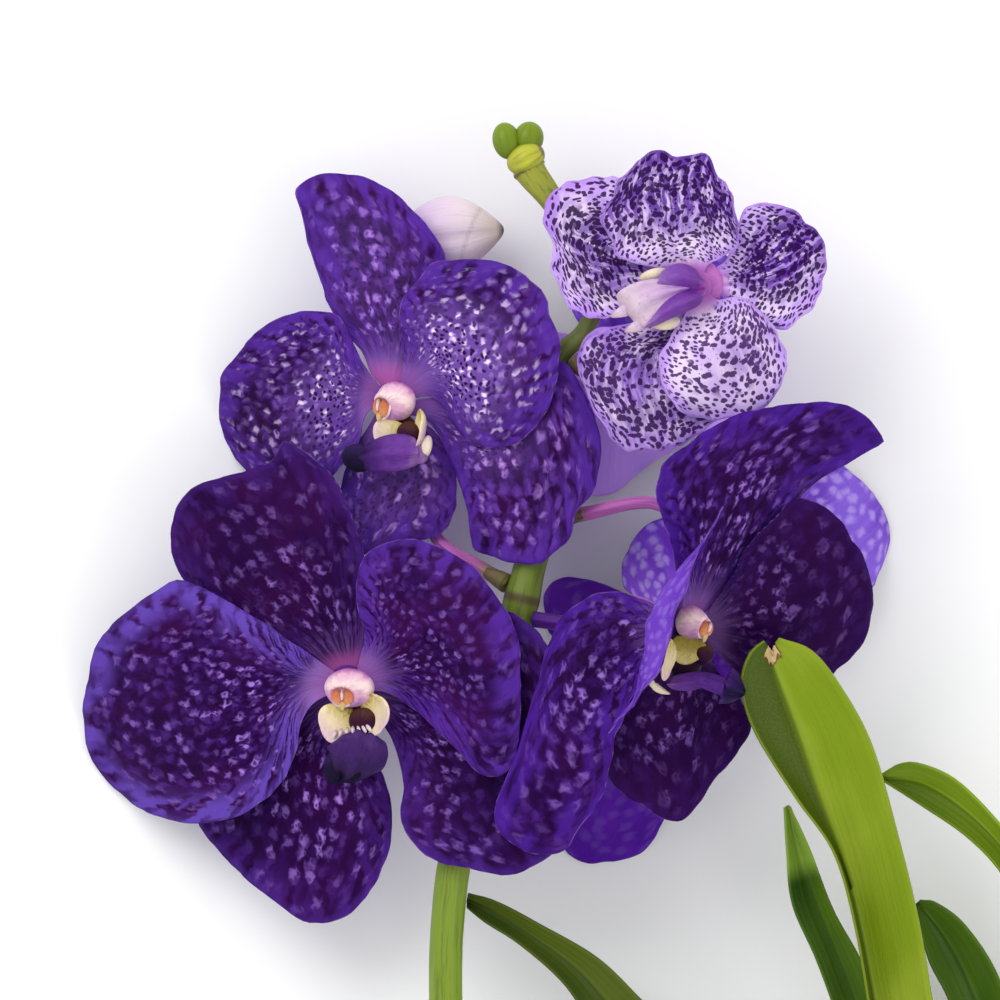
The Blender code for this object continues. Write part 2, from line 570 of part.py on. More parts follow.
def add_rear_bloom(bloom, middle, heading, material, rims):
    """A bloom seen from its back: its tepals fused round the neck that carries them."""
    blades = []
    for i, (side_a, tip, side_b) in enumerate(rims):
        blade = add_blade(f"{bloom}_blade_{i}", middle, FACING_DOWN, material, side_a, tip, side_b,
                          (0, 0, 2), (5, 5))
        blades.append(as_mesh(blade))
    down = bloom_frame(heading, FACING_DOWN)
    neck = egg(middle, down, (0, 0, 1.9), (HUB_RADIUS + 2.2, HUB_RADIUS + 2.2, 2.0), (12, 6))
    meshes = [neck] + [blade.data.copy() for blade in blades]
    for blade in blades:
        bpy.data.objects.remove(blade)
    fuse(f"{bloom}_tepals", meshes, material)
    lobes = (
        ((6.0, 0.0, 5.6), (4.6, 4.4, 2.6)),
        ((6.0, -5.0, 6.4), (3.6, 2.4, 3.0)),
        ((6.0, 5.0, 6.4), (3.6, 2.4, 3.0)),
        ((11.0, 0.0, 7.0), (5.2, 4.8, 2.4)),
    )
    add_column_and_lip(bloom, middle + Vector((0, 0, -3.8)), heading, FACING_DOWN, lobes)


def bloom_e():
    """The rear bloom behind the two upper ones, whose back shows as one plain lilac lobe."""
    seen = (
        [(-2, -1, -2), (-9, -8, -4), (-14, -15, -9), (-16, -23, -15)],
        [(-12, -28.3, -20), (-7.7, -28.8, -21.5), (-4, -27, -21.5), (0, -23.6, -20),
         (4.6, -20.2, -17), (12.5, -15.4, -14)],
        [(2, -2, -2), (10, -5, -5), (15, -8, -8.5), (17.5, -11, -11)],
    )
    rims = [
        seen,
        hidden_tepal(185, 34, 13, -2.3, 20.7),
        hidden_tepal(112, 32, 9, -1.5, 20.5),
        hidden_tepal(50, 36, 11, -1.8, 21.6),
        hidden_tepal(-14, 31, 11, -2.6, 19.4),
    ]
    add_rear_bloom("bloom_e", HUB_E, 18, violet, rims)


def bloom_f():
    """The rear bloom behind the one on the right, of which four lobes show."""
    rims = [
        ([(2, 2.4, -2), (12, 16, -4), (22, 31, -9), (32.4, 42, -15)],
         [(39, 39.4, -18), (43.7, 34, -20.5), (46.8, 28, -22.4), (46.8, 21.8, -22.6)],
         [(3, -.6, -2), (16, 4, -4), (30, 8, -9), (41.8, 11.5, -17), (44.4, 17.3, -21)]),
        ([(-3, 1, -2), (-10, 7, -4), (-17, 12, -8)],
         [(-17.8, 16.6, -11), (-16.6, 21.1, -13), (-13.7, 25.7, -15), (-9.4, 28.8, -17),
          (-4, 30, -17)],
         [(1, 2.5, -2), (3, 10, -4), (4, 20, -8), (1, 28, -14)]),
        ([(-3, 1.6, -2), (-10, 6, -6), (-18.2, 11.5, -10), (-24.2, 13.9, -13)],
         [(-29.8, 14.9, -16), (-34.3, 13.9, -19), (-36.6, 10.3, -21), (-36.2, 5.8, -22.4),
          (-35, 1.2, -22.6), (-30, -3, -21)],
         [(-3, -1.5, -2), (-10, -2.4, -4.5), (-20, -2.4, -9)]),
        ([(-3, -1.5, -2), (-12, -14, -5), (-22, -30, -11), (-30, -44, -18)],
         [(-32, -50.4, -21), (-27.4, -54.2, -22.6), (-22, -54.2, -22.6), (-15, -52.8, -22.4),
          (-10.6, -49.4, -21)],
         [(1, -3, -2), (-1, -14, -4), (-3, -30, -10), (-7.9, -43.9, -18)]),
        ([(-1, -3, -2), (1, -10, -6), (5, -18, -14)],
         [(9, -21.5, -19), (15, -20.5, -22.4), (18.4, -15, -21)],
         [(3, -1, -2), (10, -4, -5), (16, -9, -12)]),
    ]
    add_rear_bloom("bloom_f", HUB_F, 209, violet, rims)


def stems():
    """The flower stem, the pedicels of the six blooms, the buds and the leafy stem."""
    high = STEM_HEIGHT
    add_tube(
        "flower_stem", stem_green,
        [(108.4, -195.4, 11, 3.6), (96, -201, 14, 3.9), (64, -197, 19, STEM_RADIUS),
         (30, -181, 25, STEM_RADIUS), (3, -157, 30, STEM_RADIUS), (-10, -135, 33, STEM_RADIUS),
         (-13, -118, high, STEM_RADIUS), (-11, -88, high, STEM_RADIUS),
         (-3, -56, high, STEM_RADIUS), (5.3, -24, high, STEM_RADIUS), (10.5, 0, high, 3.4),
         (11.5, 19, high, 3.0), (13.4, 33, high, 2.5), (20.5, 41, high + 1, 2.1),
         (24, 52, high + 2, 2.1), (18.5, 64, high + 2, 2.5), (11.5, 73.5, high + 1, 3.1),
         (7, 79.5, high, 4.1), (5.6, 83, high, 4.4), (5, 85, high, 3.2)],
        3, 7.0,
    )
    routes = {
        "a": [(-8.4, -56.6, 33, 2), (-14, -52.5, 29.5, 1.8), (-24, -49, 26.5, PEDICEL_RADIUS),
              *hub_end(HUB_A, FACING_A)],
        "b": [(1.6, -20.1, 33.2, 2), (-4.5, -16.5, 29.4, 1.8), (-14, -10.5, 23.6, PEDICEL_RADIUS),
              (-20, 0, 18, PEDICEL_RADIUS), (-22, 14, 17, PEDICEL_RADIUS), *hub_end(HUB_B, FACING_B)],
        "c": [(8.5, -28.7, 36.8, 2), (17, -25, 42.5, 1.8), (27, -22.6, 49, PEDICEL_RADIUS),
              (34.5, -25, 54.6, PEDICEL_RADIUS), *hub_end(HUB_C, FACING_C)],
        "d": [(25.8, 46, 36.6, 2), (31, 46.4, 37.6, 1.8), (39, 48.6, 39, PEDICEL_RADIUS),
              *hub_end(HUB_D, FACING_D)],
        "e": [(17.4, 33.6, 34.8, 2), (21, 30.8, 35.4, 1.8), (27.5, 29, 35, PEDICEL_RADIUS),
              (32.6, 29.6, 31.6, PEDICEL_RADIUS), (*(HUB_E + Vector((0, 0, 4))), 1.8),
              (*(HUB_E + Vector((0, 0, .5))), 2.6)],
        "f": [(14.2, -4.6, 34.6, 2), (20, -3.4, 36, 1.8), (37, -.8, 38.5, PEDICEL_RADIUS),
              (47, -10, 39.5, PEDICEL_RADIUS), (49, -25, 37, PEDICEL_RADIUS),
              (47.6, -33, 31, PEDICEL_RADIUS), (*(HUB_F + Vector((0, 0, 4))), 1.8),
              (*(HUB_F + Vector((0, 0, .5))), 2.6)],
    }
    for letter, route in routes.items():
        add_tube(f"pedicel_{letter}", pedicel_pink, route, 2, 3.5)


def buds():
    high = STEM_HEIGHT
    bud_frame = bloom_frame(62, (0, 0, 1))
    body = [egg(Vector((-7.5, 63.5, 17)), bud_frame, (0, 0, 0), (9.6, 8.4, 7.6), (12, 8)),
            egg(Vector((-.6, 65.6, 17)), bloom_frame(20, (0, 0, 1)), (0, 0, 0), (4.4, 4, 4), (8, 6))]
    fuse("bud_pale", body, bud_white)
    add_tube("pedicel_bud", pedicel_pink,
             [(11, 32.6, 31.6, 1.8), (4, 38, 27, 1.6), (-4, 46, 21.5, 1.5), (-8.5, 53.8, 19.1, 1.6)], 2, 5.0)
    upright = bloom_frame(90, (0, 0, 1))
    for name, place, radii in (("bud_tip_left", (-.1, 87, high), (4.2, 2.6, 2.6)),
                               ("bud_tip_right", (7.6, 89.6, high), (3.6, 3.3, 3.3))):
        fuse(name, [egg(Vector(place), upright, (0, 0, 0), radii, (10, 8))], bud_green)


def leafy_stem():
    """The cut stem with the sheaths of its leaves, and a small flat underneath where it rests."""
    radius = LEAFY_STEM_RADIUS
    axis = [(121, -214, radius - LEAFY_STEM_FLAT), (116, -196, radius - LEAFY_STEM_FLAT),
            (111, -178, radius - LEAFY_STEM_FLAT), (109.2, -171.5, radius)]
    core = as_mesh(add_tube("leafy_stem", stem_green, [(*point, radius) for point in axis], 4, 8.0))
    bm = bmesh.new()
    bm.from_mesh(core.data)
    whole = [*bm.verts, *bm.edges, *bm.faces]
    bmesh.ops.bisect_plane(bm, geom=whole, plane_co=(0, 0, 0), plane_no=(0, 0, -1), clear_outer=True)
    bmesh.ops.holes_fill(bm, edges=[edge for edge in bm.edges if edge.is_boundary])
    bm.to_mesh(core.data)
    bm.free()


def leaves():
    add_leaf(
        "leaf_1", leaf_green,
        [(98, -172, 19), (94, -151, 30), (90, -134, 38), (88.3, -120, 44), (84.7, -100.6, 52),
         (79.7, -84, 57), (70.6, -71, 60), (60.7, -55.2, 63), (57.5, -44, 66), (59.5, -36.5, 67),
         (63, -33.6, 67)],
        [(106.9, -172.3, 11.6), (96, -146, 22), (91, -127, 32), (86, -102, 41), (81.5, -86, 49),
         (75.4, -69.4, 54), (71.8, -58.3, 58), (68.2, -48.5, 61), (65, -39.5, 64), (64.6, -35.5, 66)],
        [(113, -169.4, 19), (109, -151, 28), (107, -134, 34), (103.7, -119.5, 40),
         (100.4, -101, 47), (95, -79.2, 54), (88.8, -58.3, 60), (81.6, -44.9, 64),
         (74.5, -36, 67), (66.5, -32.8, 67)],
        (4, 12),
    )
    add_leaf(
        "leaf_2", leaf_green,
        [(114.4, -181, 15.8), (118.6, -167, 17), (124, -151, 21), (128, -132, 26), (128, -113, 31),
         (125, -98, 35), (119.5, -88.3, 37), (111.6, -80.4, 37), (101.8, -73.7, 34), (92.4, -67.6, 30)],
        [(120.3, -182.2, 9.1), (123.4, -168, 12), (128, -152, 16.6), (133, -132, 23), (133, -112, 28),
         (129, -96, 32), (121, -84, 34), (112, -75, 34), (102, -68.6, 32), (92, -66.8, 29)],
        [(123.6, -181.4, 16), (128, -168, 18), (133, -153, 22), (139, -132, 29), (138, -110, 34),
         (130, -91, 38), (120, -77.8, 40), (109.7, -67.4, 39), (101, -63.4, 36), (96, -63.4, 33),
         (92, -65.8, 30)],
        (4, 10),
    )
    add_leaf(
        "leaf_3", dark_leaf_green,
        [(109.5, -169.2, 9), (113, -150, 15), (112, -132, 19), (108, -120, 21),
         (103.7, -111.6, 22), (101, -102.5, 23), (99.8, -97.6, 22)],
        [(113.55, -169.4, 4.8), (118.5, -148, 11), (118, -132, 15), (113, -117, 18),
         (108, -107, 19), (103, -100, 21), (100.6, -97, 21.4)],
        [(117.4, -168.4, 9), (124, -148, 16), (125, -132, 20), (120, -114.7, 23),
         (112, -102.4, 25), (105, -97, 25), (101.4, -96.4, 23)],
        (4, 8),
    )
    add_leaf(
        "leaf_4", dark_leaf_green,
        [(98.4, -173.4, 13.4), (90, -149, 20.4), (84, -132, 25), (76.6, -111.6, 29), (70.4, -97.2, 31),
         (69, -84, 32), (67.4, -74, 34)],
        [(102.4, -172.6, 8), (95, -147, 15), (89, -131, 20), (82, -112, 24), (76, -97, 27),
         (72, -84, 29), (69, -74, 32)],
        [(103.6, -166, 12), (100, -146, 19), (94.6, -131, 24), (87.4, -112, 28),
         (80, -98.4, 31), (73.6, -84, 33), (70.6, -74, 34)],
        (4, 8),
    )
    add_leaf(
        "leaf_5", leaf_green,
        [(99, -181, 9), (72, -164, 16), (44, -148, 22), (26, -132, 27), (16, -117, 30),
         (5, -107, 30), (-3.5, -101.6, 28), (-8, -98, 26)],
        [(103.6, -179.4, 6.4), (76, -160, 12), (49, -142, 18), (31, -127, 23), (19, -113.6, 26),
         (7, -104.6, 27), (-2.4, -99, 26), (-8, -96.4, 25)],
        [(102.2, -177.4, 8.6), (80, -155, 17), (57, -138, 23), (38, -124, 27), (24, -110.6, 30),
         (9, -101.8, 30), (-1, -96.6, 28), (-7.6, -94.6, 26)],
        (4, 10),
    )
    add_leaf(
        "leaf_6", leaf_green,
        [(122.6, -185.5, 10.6), (142, -168, 19), (160, -150, 26), (174, -130, 26), (180, -114, 20)],
        [(121.9, -190.2, 6.6), (146, -173, 14), (166, -155, 20), (179, -133, 21), (183, -115, 17)],
        [(124.6, -194.6, 10.6), (150, -178, 18), (172, -160, 25), (186, -136, 26), (186, -116, 20)],
        (4, 8),
    )
    add_leaf(
        "leaf_7", leaf_green,
        [(126.6, -198.6, 10.4), (146, -194, 16), (168, -188, 18), (188, -178, 14), (198, -170, 8)],
        [(125.5, -203.2, 6.4), (147, -200, 11), (170, -194, 13), (191, -183, 10), (200, -173, 5)],
        [(128.2, -207, 10.4), (148, -206, 15), (173, -200, 18), (195, -188, 14), (202, -176, 7)],
        (4, 8),
    )


clear_scene()
parts = new_collection("vanda_orchid")
purple = plant_material("petal_purple", PURPLE, 0.45)
violet = plant_material("petal_back_violet", VIOLET, 0.5)
lilac = plant_material("petal_lilac", LILAC, 0.45)
blush = plant_material("column_blush", BLUSH, 0.4)
lip_violet = plant_material("lip_violet", LIP_VIOLET, 0.4)
pedicel_pink = plant_material("pedicel_pink", PEDICEL_PINK, 0.45)
stem_green = plant_material("stem_green", STEM_GREEN, 0.45)
leaf_green = plant_material("leaf_green", LEAF_GREEN, 0.4)
dark_leaf_green = plant_material("leaf_dark_green", DARK_LEAF_GREEN, 0.4)
bud_white = plant_material("bud_white", BUD_WHITE, 0.5)
bud_green = plant_material("bud_green", BUD_GREEN, 0.45)

bloom_a()
bloom_b()
bloom_c()
bloom_d()
bloom_e()
bloom_f()
stems()
buds()
leafy_stem()
leaves()
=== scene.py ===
# %% [markdown]
# # A cut vanda orchid, laid down
# The plant lies on a pale surface and is seen from straight above: six blooms on an arching flower
# stem, a pale bud, two green buds at the tip, and strap leaves round a short leafy stem. Each piece
# of the plant is a mesh of its own, over the plain solid of the same place.

# %% Open the frame
import math

import bmesh
import bpy
from mathutils import Matrix, Vector, kdtree, noise


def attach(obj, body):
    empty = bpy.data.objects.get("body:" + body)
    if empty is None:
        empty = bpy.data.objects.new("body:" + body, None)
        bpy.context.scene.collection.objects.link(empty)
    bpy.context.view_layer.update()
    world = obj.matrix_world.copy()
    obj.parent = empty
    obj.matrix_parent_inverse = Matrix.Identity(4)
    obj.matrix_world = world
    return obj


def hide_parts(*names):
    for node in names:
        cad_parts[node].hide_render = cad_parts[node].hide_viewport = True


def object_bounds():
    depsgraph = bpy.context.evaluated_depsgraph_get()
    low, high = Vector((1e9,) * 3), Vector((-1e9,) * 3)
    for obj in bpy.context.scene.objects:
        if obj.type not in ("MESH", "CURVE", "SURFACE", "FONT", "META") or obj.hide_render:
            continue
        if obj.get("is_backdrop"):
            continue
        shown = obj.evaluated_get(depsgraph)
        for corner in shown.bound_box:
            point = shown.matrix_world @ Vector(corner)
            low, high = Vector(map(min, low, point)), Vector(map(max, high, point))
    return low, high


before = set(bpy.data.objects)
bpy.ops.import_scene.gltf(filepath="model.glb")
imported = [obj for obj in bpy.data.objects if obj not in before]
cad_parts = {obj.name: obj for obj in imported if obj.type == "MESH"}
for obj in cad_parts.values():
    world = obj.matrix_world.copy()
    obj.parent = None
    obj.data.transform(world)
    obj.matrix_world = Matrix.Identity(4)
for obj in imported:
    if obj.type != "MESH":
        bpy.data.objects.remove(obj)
solid_box = [list(corner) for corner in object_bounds()]
print("solids in the frame:", len(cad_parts))

# %% [markdown]
# ## The plan
# A plant is easiest to lay out as on squared paper. All places are millimetres of one plan, with X
# to the right, Y up the flower stem and Z the height above the surface. The plan's zero is the middle
# of the picture, and the middle of the footprint is the model's own zero.

# %% Plan values
MM = 0.001
FOOTPRINT = Vector((50.5, -61.4, 0.0))
HUB_A = Vector((-37.0, -45.0, 35.8))
HUB_B = Vector((-26.0, 23.5, 29.8))
HUB_C = Vector((46.0, -31.0, 64.0))
HUB_D = Vector((47.0, 51.5, 50.0))
HUB_E = Vector((33.5, 30.0, 23.5))
HUB_F = Vector((47.3, -33.6, 23.4))
FACING_A = Vector((-0.28, -0.05, 1.0)).normalized()
FACING_B = Vector((-0.35, 0.0, 1.0)).normalized()
FACING_C = Vector((0.62, -0.1, 0.78)).normalized()
FACING_D = Vector((0.0, 0.0, 1.0))
FACING_DOWN = Vector((0.0, 0.0, -1.0))
PETAL_LEVEL = -0.3
SEPAL_LEVEL = -1.5


def placed(point):
    """A plan point in millimetres as a place in metres in the model."""
    return (Vector(point[:3]) - FOOTPRINT) * MM


print("middle of the picture in the model:", placed((0, 0, 0)))

# %% [markdown]
# ## Smooth outlines
# The rim of a petal is drawn by a few points, and the rest of it follows from a curve that passes
# through them all. A Catmull-Rom curve does that, and it needs no handles. Points at equal steps of
# length keep the faces of a sheet even.

# %% Curves
STEPS = 8


def curve_through(points):
    """A smooth curve through the points, with STEPS places from each one to the next."""
    points = [Vector(point) for point in points]
    ends = [2 * points[0] - points[1], *points, 2 * points[-1] - points[-2]]
    curve = []
    for i in range(1, len(ends) - 2):
        before, start, end, after = ends[i - 1 : i + 3]
        for step in range(STEPS):
            t = step / STEPS
            pull = (2 * start + (end - before) * t + (2 * before - 5 * start + 4 * end - after) * t**2
                    + (3 * start - before - 3 * end + after) * t**3)
            curve.append(pull / 2)
    return [*curve, points[-1]]


def length_of(line):
    return sum((end - start).length for start, end in zip(line, line[1:]))


def by_length(curve, count):
    """Places at equal steps of length along a curve."""
    lengths = [0.0]
    for start, end in zip(curve, curve[1:]):
        lengths.append(lengths[-1] + (end - start).length)
    found = []
    i = 0
    for step in range(count + 1):
        wanted = lengths[-1] * step / count
        while i < len(curve) - 2 and lengths[i + 1] < wanted:
            i += 1
        share = (wanted - lengths[i]) / max(lengths[i + 1] - lengths[i], 1e-9)
        found.append(curve[i].lerp(curve[i + 1], min(share, 1.0)))
    return found


def between(curve, spot):
    """The value of a curve at a spot that is counted in its points."""
    low = min(int(spot), len(curve) - 2)
    return curve[low].lerp(curve[low + 1], spot - low)


def smooth_step(low, high, value):
    t = min(max((value - low) / (high - low), 0.0), 1.0)
    return t * t * (3 - 2 * t)


print("a rim of 4 points becomes", len(curve_through([(0, 0, 0), (1, 1, 0), (2, 0, 0), (3, 1, 0)])))

# %% [markdown]
# ## Sheets from a grid
# Petals, leaves, lobes and stems are all sheets, flat or rolled up. Each starts as Blender's grid,
# whose vertices are then moved by a rule of how far across and how far along they are. That keeps
# the faces square, and it gives every sheet a map in millimetres, so that veins and spots can follow
# the tissue and not the room. A tube is a grid rolled up, whose seam is merged and whose ends are
# closed.

# %% Grid helper
def turn_at(u, around):
    """The angle of a row of the grid when it is rolled up into a tube; the last row meets the first."""
    return 2 * math.pi * (round(u * around) % around) / around


def grid_mesh(name, cells, shape, unroll, marks, closed=False):
    """A mesh of a grid moved by shape(u, v); unroll(u, v) gives its map, marks its point values."""
    across, along = cells
    bm = bmesh.new()
    bmesh.ops.create_grid(bm, x_segments=across, y_segments=along, size=0.5)
    veins = bm.loops.layers.uv.new("veins")
    layers = {key: bm.verts.layers.float.new(key) for key in marks}
    for vertex in bm.verts:
        u = min(max(vertex.co.x + 0.5, 0.0), 1.0)
        v = min(max(vertex.co.y + 0.5, 0.0), 1.0)
        for loop in vertex.link_loops:
            loop[veins].uv = unroll(u, v)
        for key, layer in layers.items():
            vertex[layer] = marks[key](u, v)
        vertex.co = placed(shape(u, v))
    if closed:
        bmesh.ops.remove_doubles(bm, verts=bm.verts, dist=1e-6)
        bmesh.ops.holes_fill(bm, edges=[edge for edge in bm.edges if edge.is_boundary])
        bmesh.ops.recalc_face_normals(bm, faces=bm.faces)
    for face in bm.faces:
        face.smooth = True
    mesh = bpy.data.meshes.new(name)
    bm.to_mesh(mesh)
    bm.free()
    return mesh


def in_scene(name, data):
    made = bpy.data.objects.new(name, data)
    bpy.context.scene.collection.objects.link(made)
    return made


def add_piece(name, mesh, skins, node):
    """An object of the mesh with its skins, in place of the solid of the same piece."""
    for skin in skins:
        mesh.materials.append(skin)
    piece = in_scene(name, mesh)
    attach(piece, "root")
    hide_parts(node)
    return piece


print("grid helper ready")

# %% [markdown]
# ## Painting with nodes
# Every colour on the plant is worked out by nodes from the map of its own sheet, so that it stays
# sharp at any distance and needs no picture. Short helpers keep the recipes readable: they add a
# node, mix two colours, cut a value into a soft mask, read a value kept on the points, run a colour
# through its stops, and finish the skin.

# %% Node helpers
def add_node(tree, kind, sockets=None, **settings):
    made = tree.nodes.new("ShaderNode" + kind)
    for key, value in settings.items():
        setattr(made, key, value)
    for key, value in (sockets or {}).items():
        if isinstance(value, bpy.types.NodeSocket):
            tree.links.new(value, made.inputs[key])
        else:
            made.inputs[key].default_value = value
    return made


def mixed(tree, share, first, second):
    """The second colour laid over the first by a share from 0 to 1."""
    colours = [(*colour, 1.0) if isinstance(colour, tuple) else colour for colour in (first, second)]
    made = add_node(tree, "Mix", {0: share, 6: colours[0], 7: colours[1]}, data_type="RGBA")
    return made.outputs[2]


def mask(tree, value, low, high, start=0.0, end=1.0):
    """A soft step from start to end as the value goes from low to high."""
    sockets = {"Value": value, "From Min": low, "From Max": high, "To Min": start, "To Max": end}
    return add_node(tree, "MapRange", sockets, interpolation_type="SMOOTHSTEP").outputs[0]


def sums(tree, operation, first, second):
    return add_node(tree, "Math", {0: first, 1: second}, operation=operation).outputs[0]


def times(tree, first, second):
    return sums(tree, "MULTIPLY", first, second)


def plus(tree, first, second):
    return sums(tree, "ADD", first, second)


def parts_of(tree, vector):
    return add_node(tree, "SeparateXYZ", {0: vector}).outputs


def size_of(tree, vector):
    return add_node(tree, "VectorMath", {0: vector}, operation="LENGTH").outputs["Value"]


def point_value(tree, name):
    """A value that the mesh keeps on its points."""
    return add_node(tree, "Attribute", attribute_name=name).outputs["Fac"]


def through(tree, run, stops, easing="LINEAR"):
    """A colour that runs through stops along a value; the stops give a colour for each place."""
    ramp = add_node(tree, "ValToRGB", {0: run})
    ramp.color_ramp.interpolation = easing
    elements = ramp.color_ramp.elements
    for i, (place, colour) in enumerate(stops.items()):
        element = elements[i] if i < 2 else elements.new(place)
        element.position = place
        element.color = (*colour, 1.0)
    return ramp.outputs[0]


def new_skin(name):
    skin = bpy.data.materials.new(name)
    skin.use_nodes = True
    return skin, skin.node_tree, skin.node_tree.nodes["Principled BSDF"]


def finish_skin(tree, shader, colour, roughness, height, depth, gloss, coat=0.0):
    """Joins the colour and a bump, whose depth is in millimetres, to the shader."""
    tree.links.new(colour, shader.inputs["Base Color"])
    shader.inputs["Roughness"].default_value = roughness
    shader.inputs["Specular IOR Level"].default_value = gloss
    shader.inputs["Coat Weight"].default_value = coat
    shader.inputs["Coat Roughness"].default_value = 0.25
    bump = add_node(tree, "Bump", {"Height": height, "Strength": 0.8, "Distance": depth * MM})
    tree.links.new(bump.outputs[0], shader.inputs["Normal"])


print("node helpers ready")

# %% [markdown]
# ## The map of a sheet as patterns
# On the real petals the colour sits in small cells between the veins: pale marks are broken rings
# round dark dots, and pale streaks run out of the claw. A Voronoi texture stretched along the veins
# gives the cells, and a noise stretched much further gives the streaks.

# %% Patterns on the map
def sheet_map(tree, warp=0.9):
    """The map of the sheet in millimetres, plain and slightly disturbed, so that no line is ruled."""
    plain = add_node(tree, "UVMap", uv_map="veins").outputs[0]
    wave = add_node(tree, "TexNoise", {"Vector": plain, "Scale": 0.35, "Detail": 2.0},
                    noise_dimensions="2D").outputs["Color"]
    shift = add_node(tree, "VectorMath", {0: wave, 1: (0.5, 0.5, 0.5)}, operation="SUBTRACT").outputs[0]
    shift = add_node(tree, "VectorMath", {0: shift, "Scale": warp * 2}, operation="SCALE").outputs[0]
    moved = add_node(tree, "VectorMath", {0: plain, 1: shift}, operation="ADD").outputs[0]
    return plain, moved


def stretched(tree, vector, width, length, offset=0.0):
    """The map counted in cells of a width and a length in millimetres."""
    return add_node(tree, "Mapping", {"Vector": vector, "Location": (offset, offset, 0.0),
                                      "Scale": (1 / width, 1 / length, 1.0)}).outputs[0]


def cells_of(tree, vector, randomness=1.0):
    return add_node(tree, "TexVoronoi", {"Vector": vector, "Scale": 1.0, "Randomness": randomness},
                    voronoi_dimensions="2D")


def cloud(tree, vector, detail=2.0, roughness=0.5):
    sockets = {"Vector": vector, "Scale": 1.0, "Detail": detail, "Roughness": roughness}
    return add_node(tree, "TexNoise", sockets, noise_dimensions="2D").outputs[0]


print("patterns ready")

# %% [markdown]
# ## The violet skin
# The front of the dark petals is a deep violet with a plum shade in it. Soft oval patches lie in
# rows between the veins, pale in their middle, and small dark dots break some of them up into rings.
# Plain violet bars stand along the rim, and lilac rays and a magenta flush at the claw. The pale marks
# are strongest in one area of each petal, which is given as an oval on its map.

# %% Violet petal skin
DEEP = (0.015, 0.001, 0.036)
PLUM = (0.034, 0.002, 0.05)
VIOLET = (0.088, 0.023, 0.31)
MID_VIOLET = (0.052, 0.009, 0.165)
MID_BRIGHT = (0.085, 0.022, 0.24)
PALE_MARK = (0.36, 0.18, 0.66)
WHITE_MARK = (0.9, 0.72, 0.96)
RAY_LILAC = (0.33, 0.16, 0.5)
NET_VIOLET = (0.24, 0.11, 0.52)
FLUSH = (0.45, 0.095, 0.36)


def oval(tree, plain, area, soft=1.5):
    """One inside an oval of the map, given by its middle and its half sizes, and zero outside."""
    x, y, wide, long = area
    moved = add_node(tree, "Mapping", {"Vector": plain, "Location": (-x / wide, -y / long, 0.0),
                                       "Scale": (1 / wide, 1 / long, 1.0)}).outputs[0]
    away = size_of(tree, moved)
    return mask(tree, away, soft, 0.5)


def fanned(tree, moved):
    """The map as a fan from the claw: the way round in millimetres and the distance."""
    spot = parts_of(tree, moved)
    turn = sums(tree, "ARCTAN2", spot[0], plus(tree, spot[1], 6.0))
    away = size_of(tree, moved)
    return add_node(tree, "CombineXYZ", {0: times(tree, turn, 44.0), 1: away}).outputs[0]


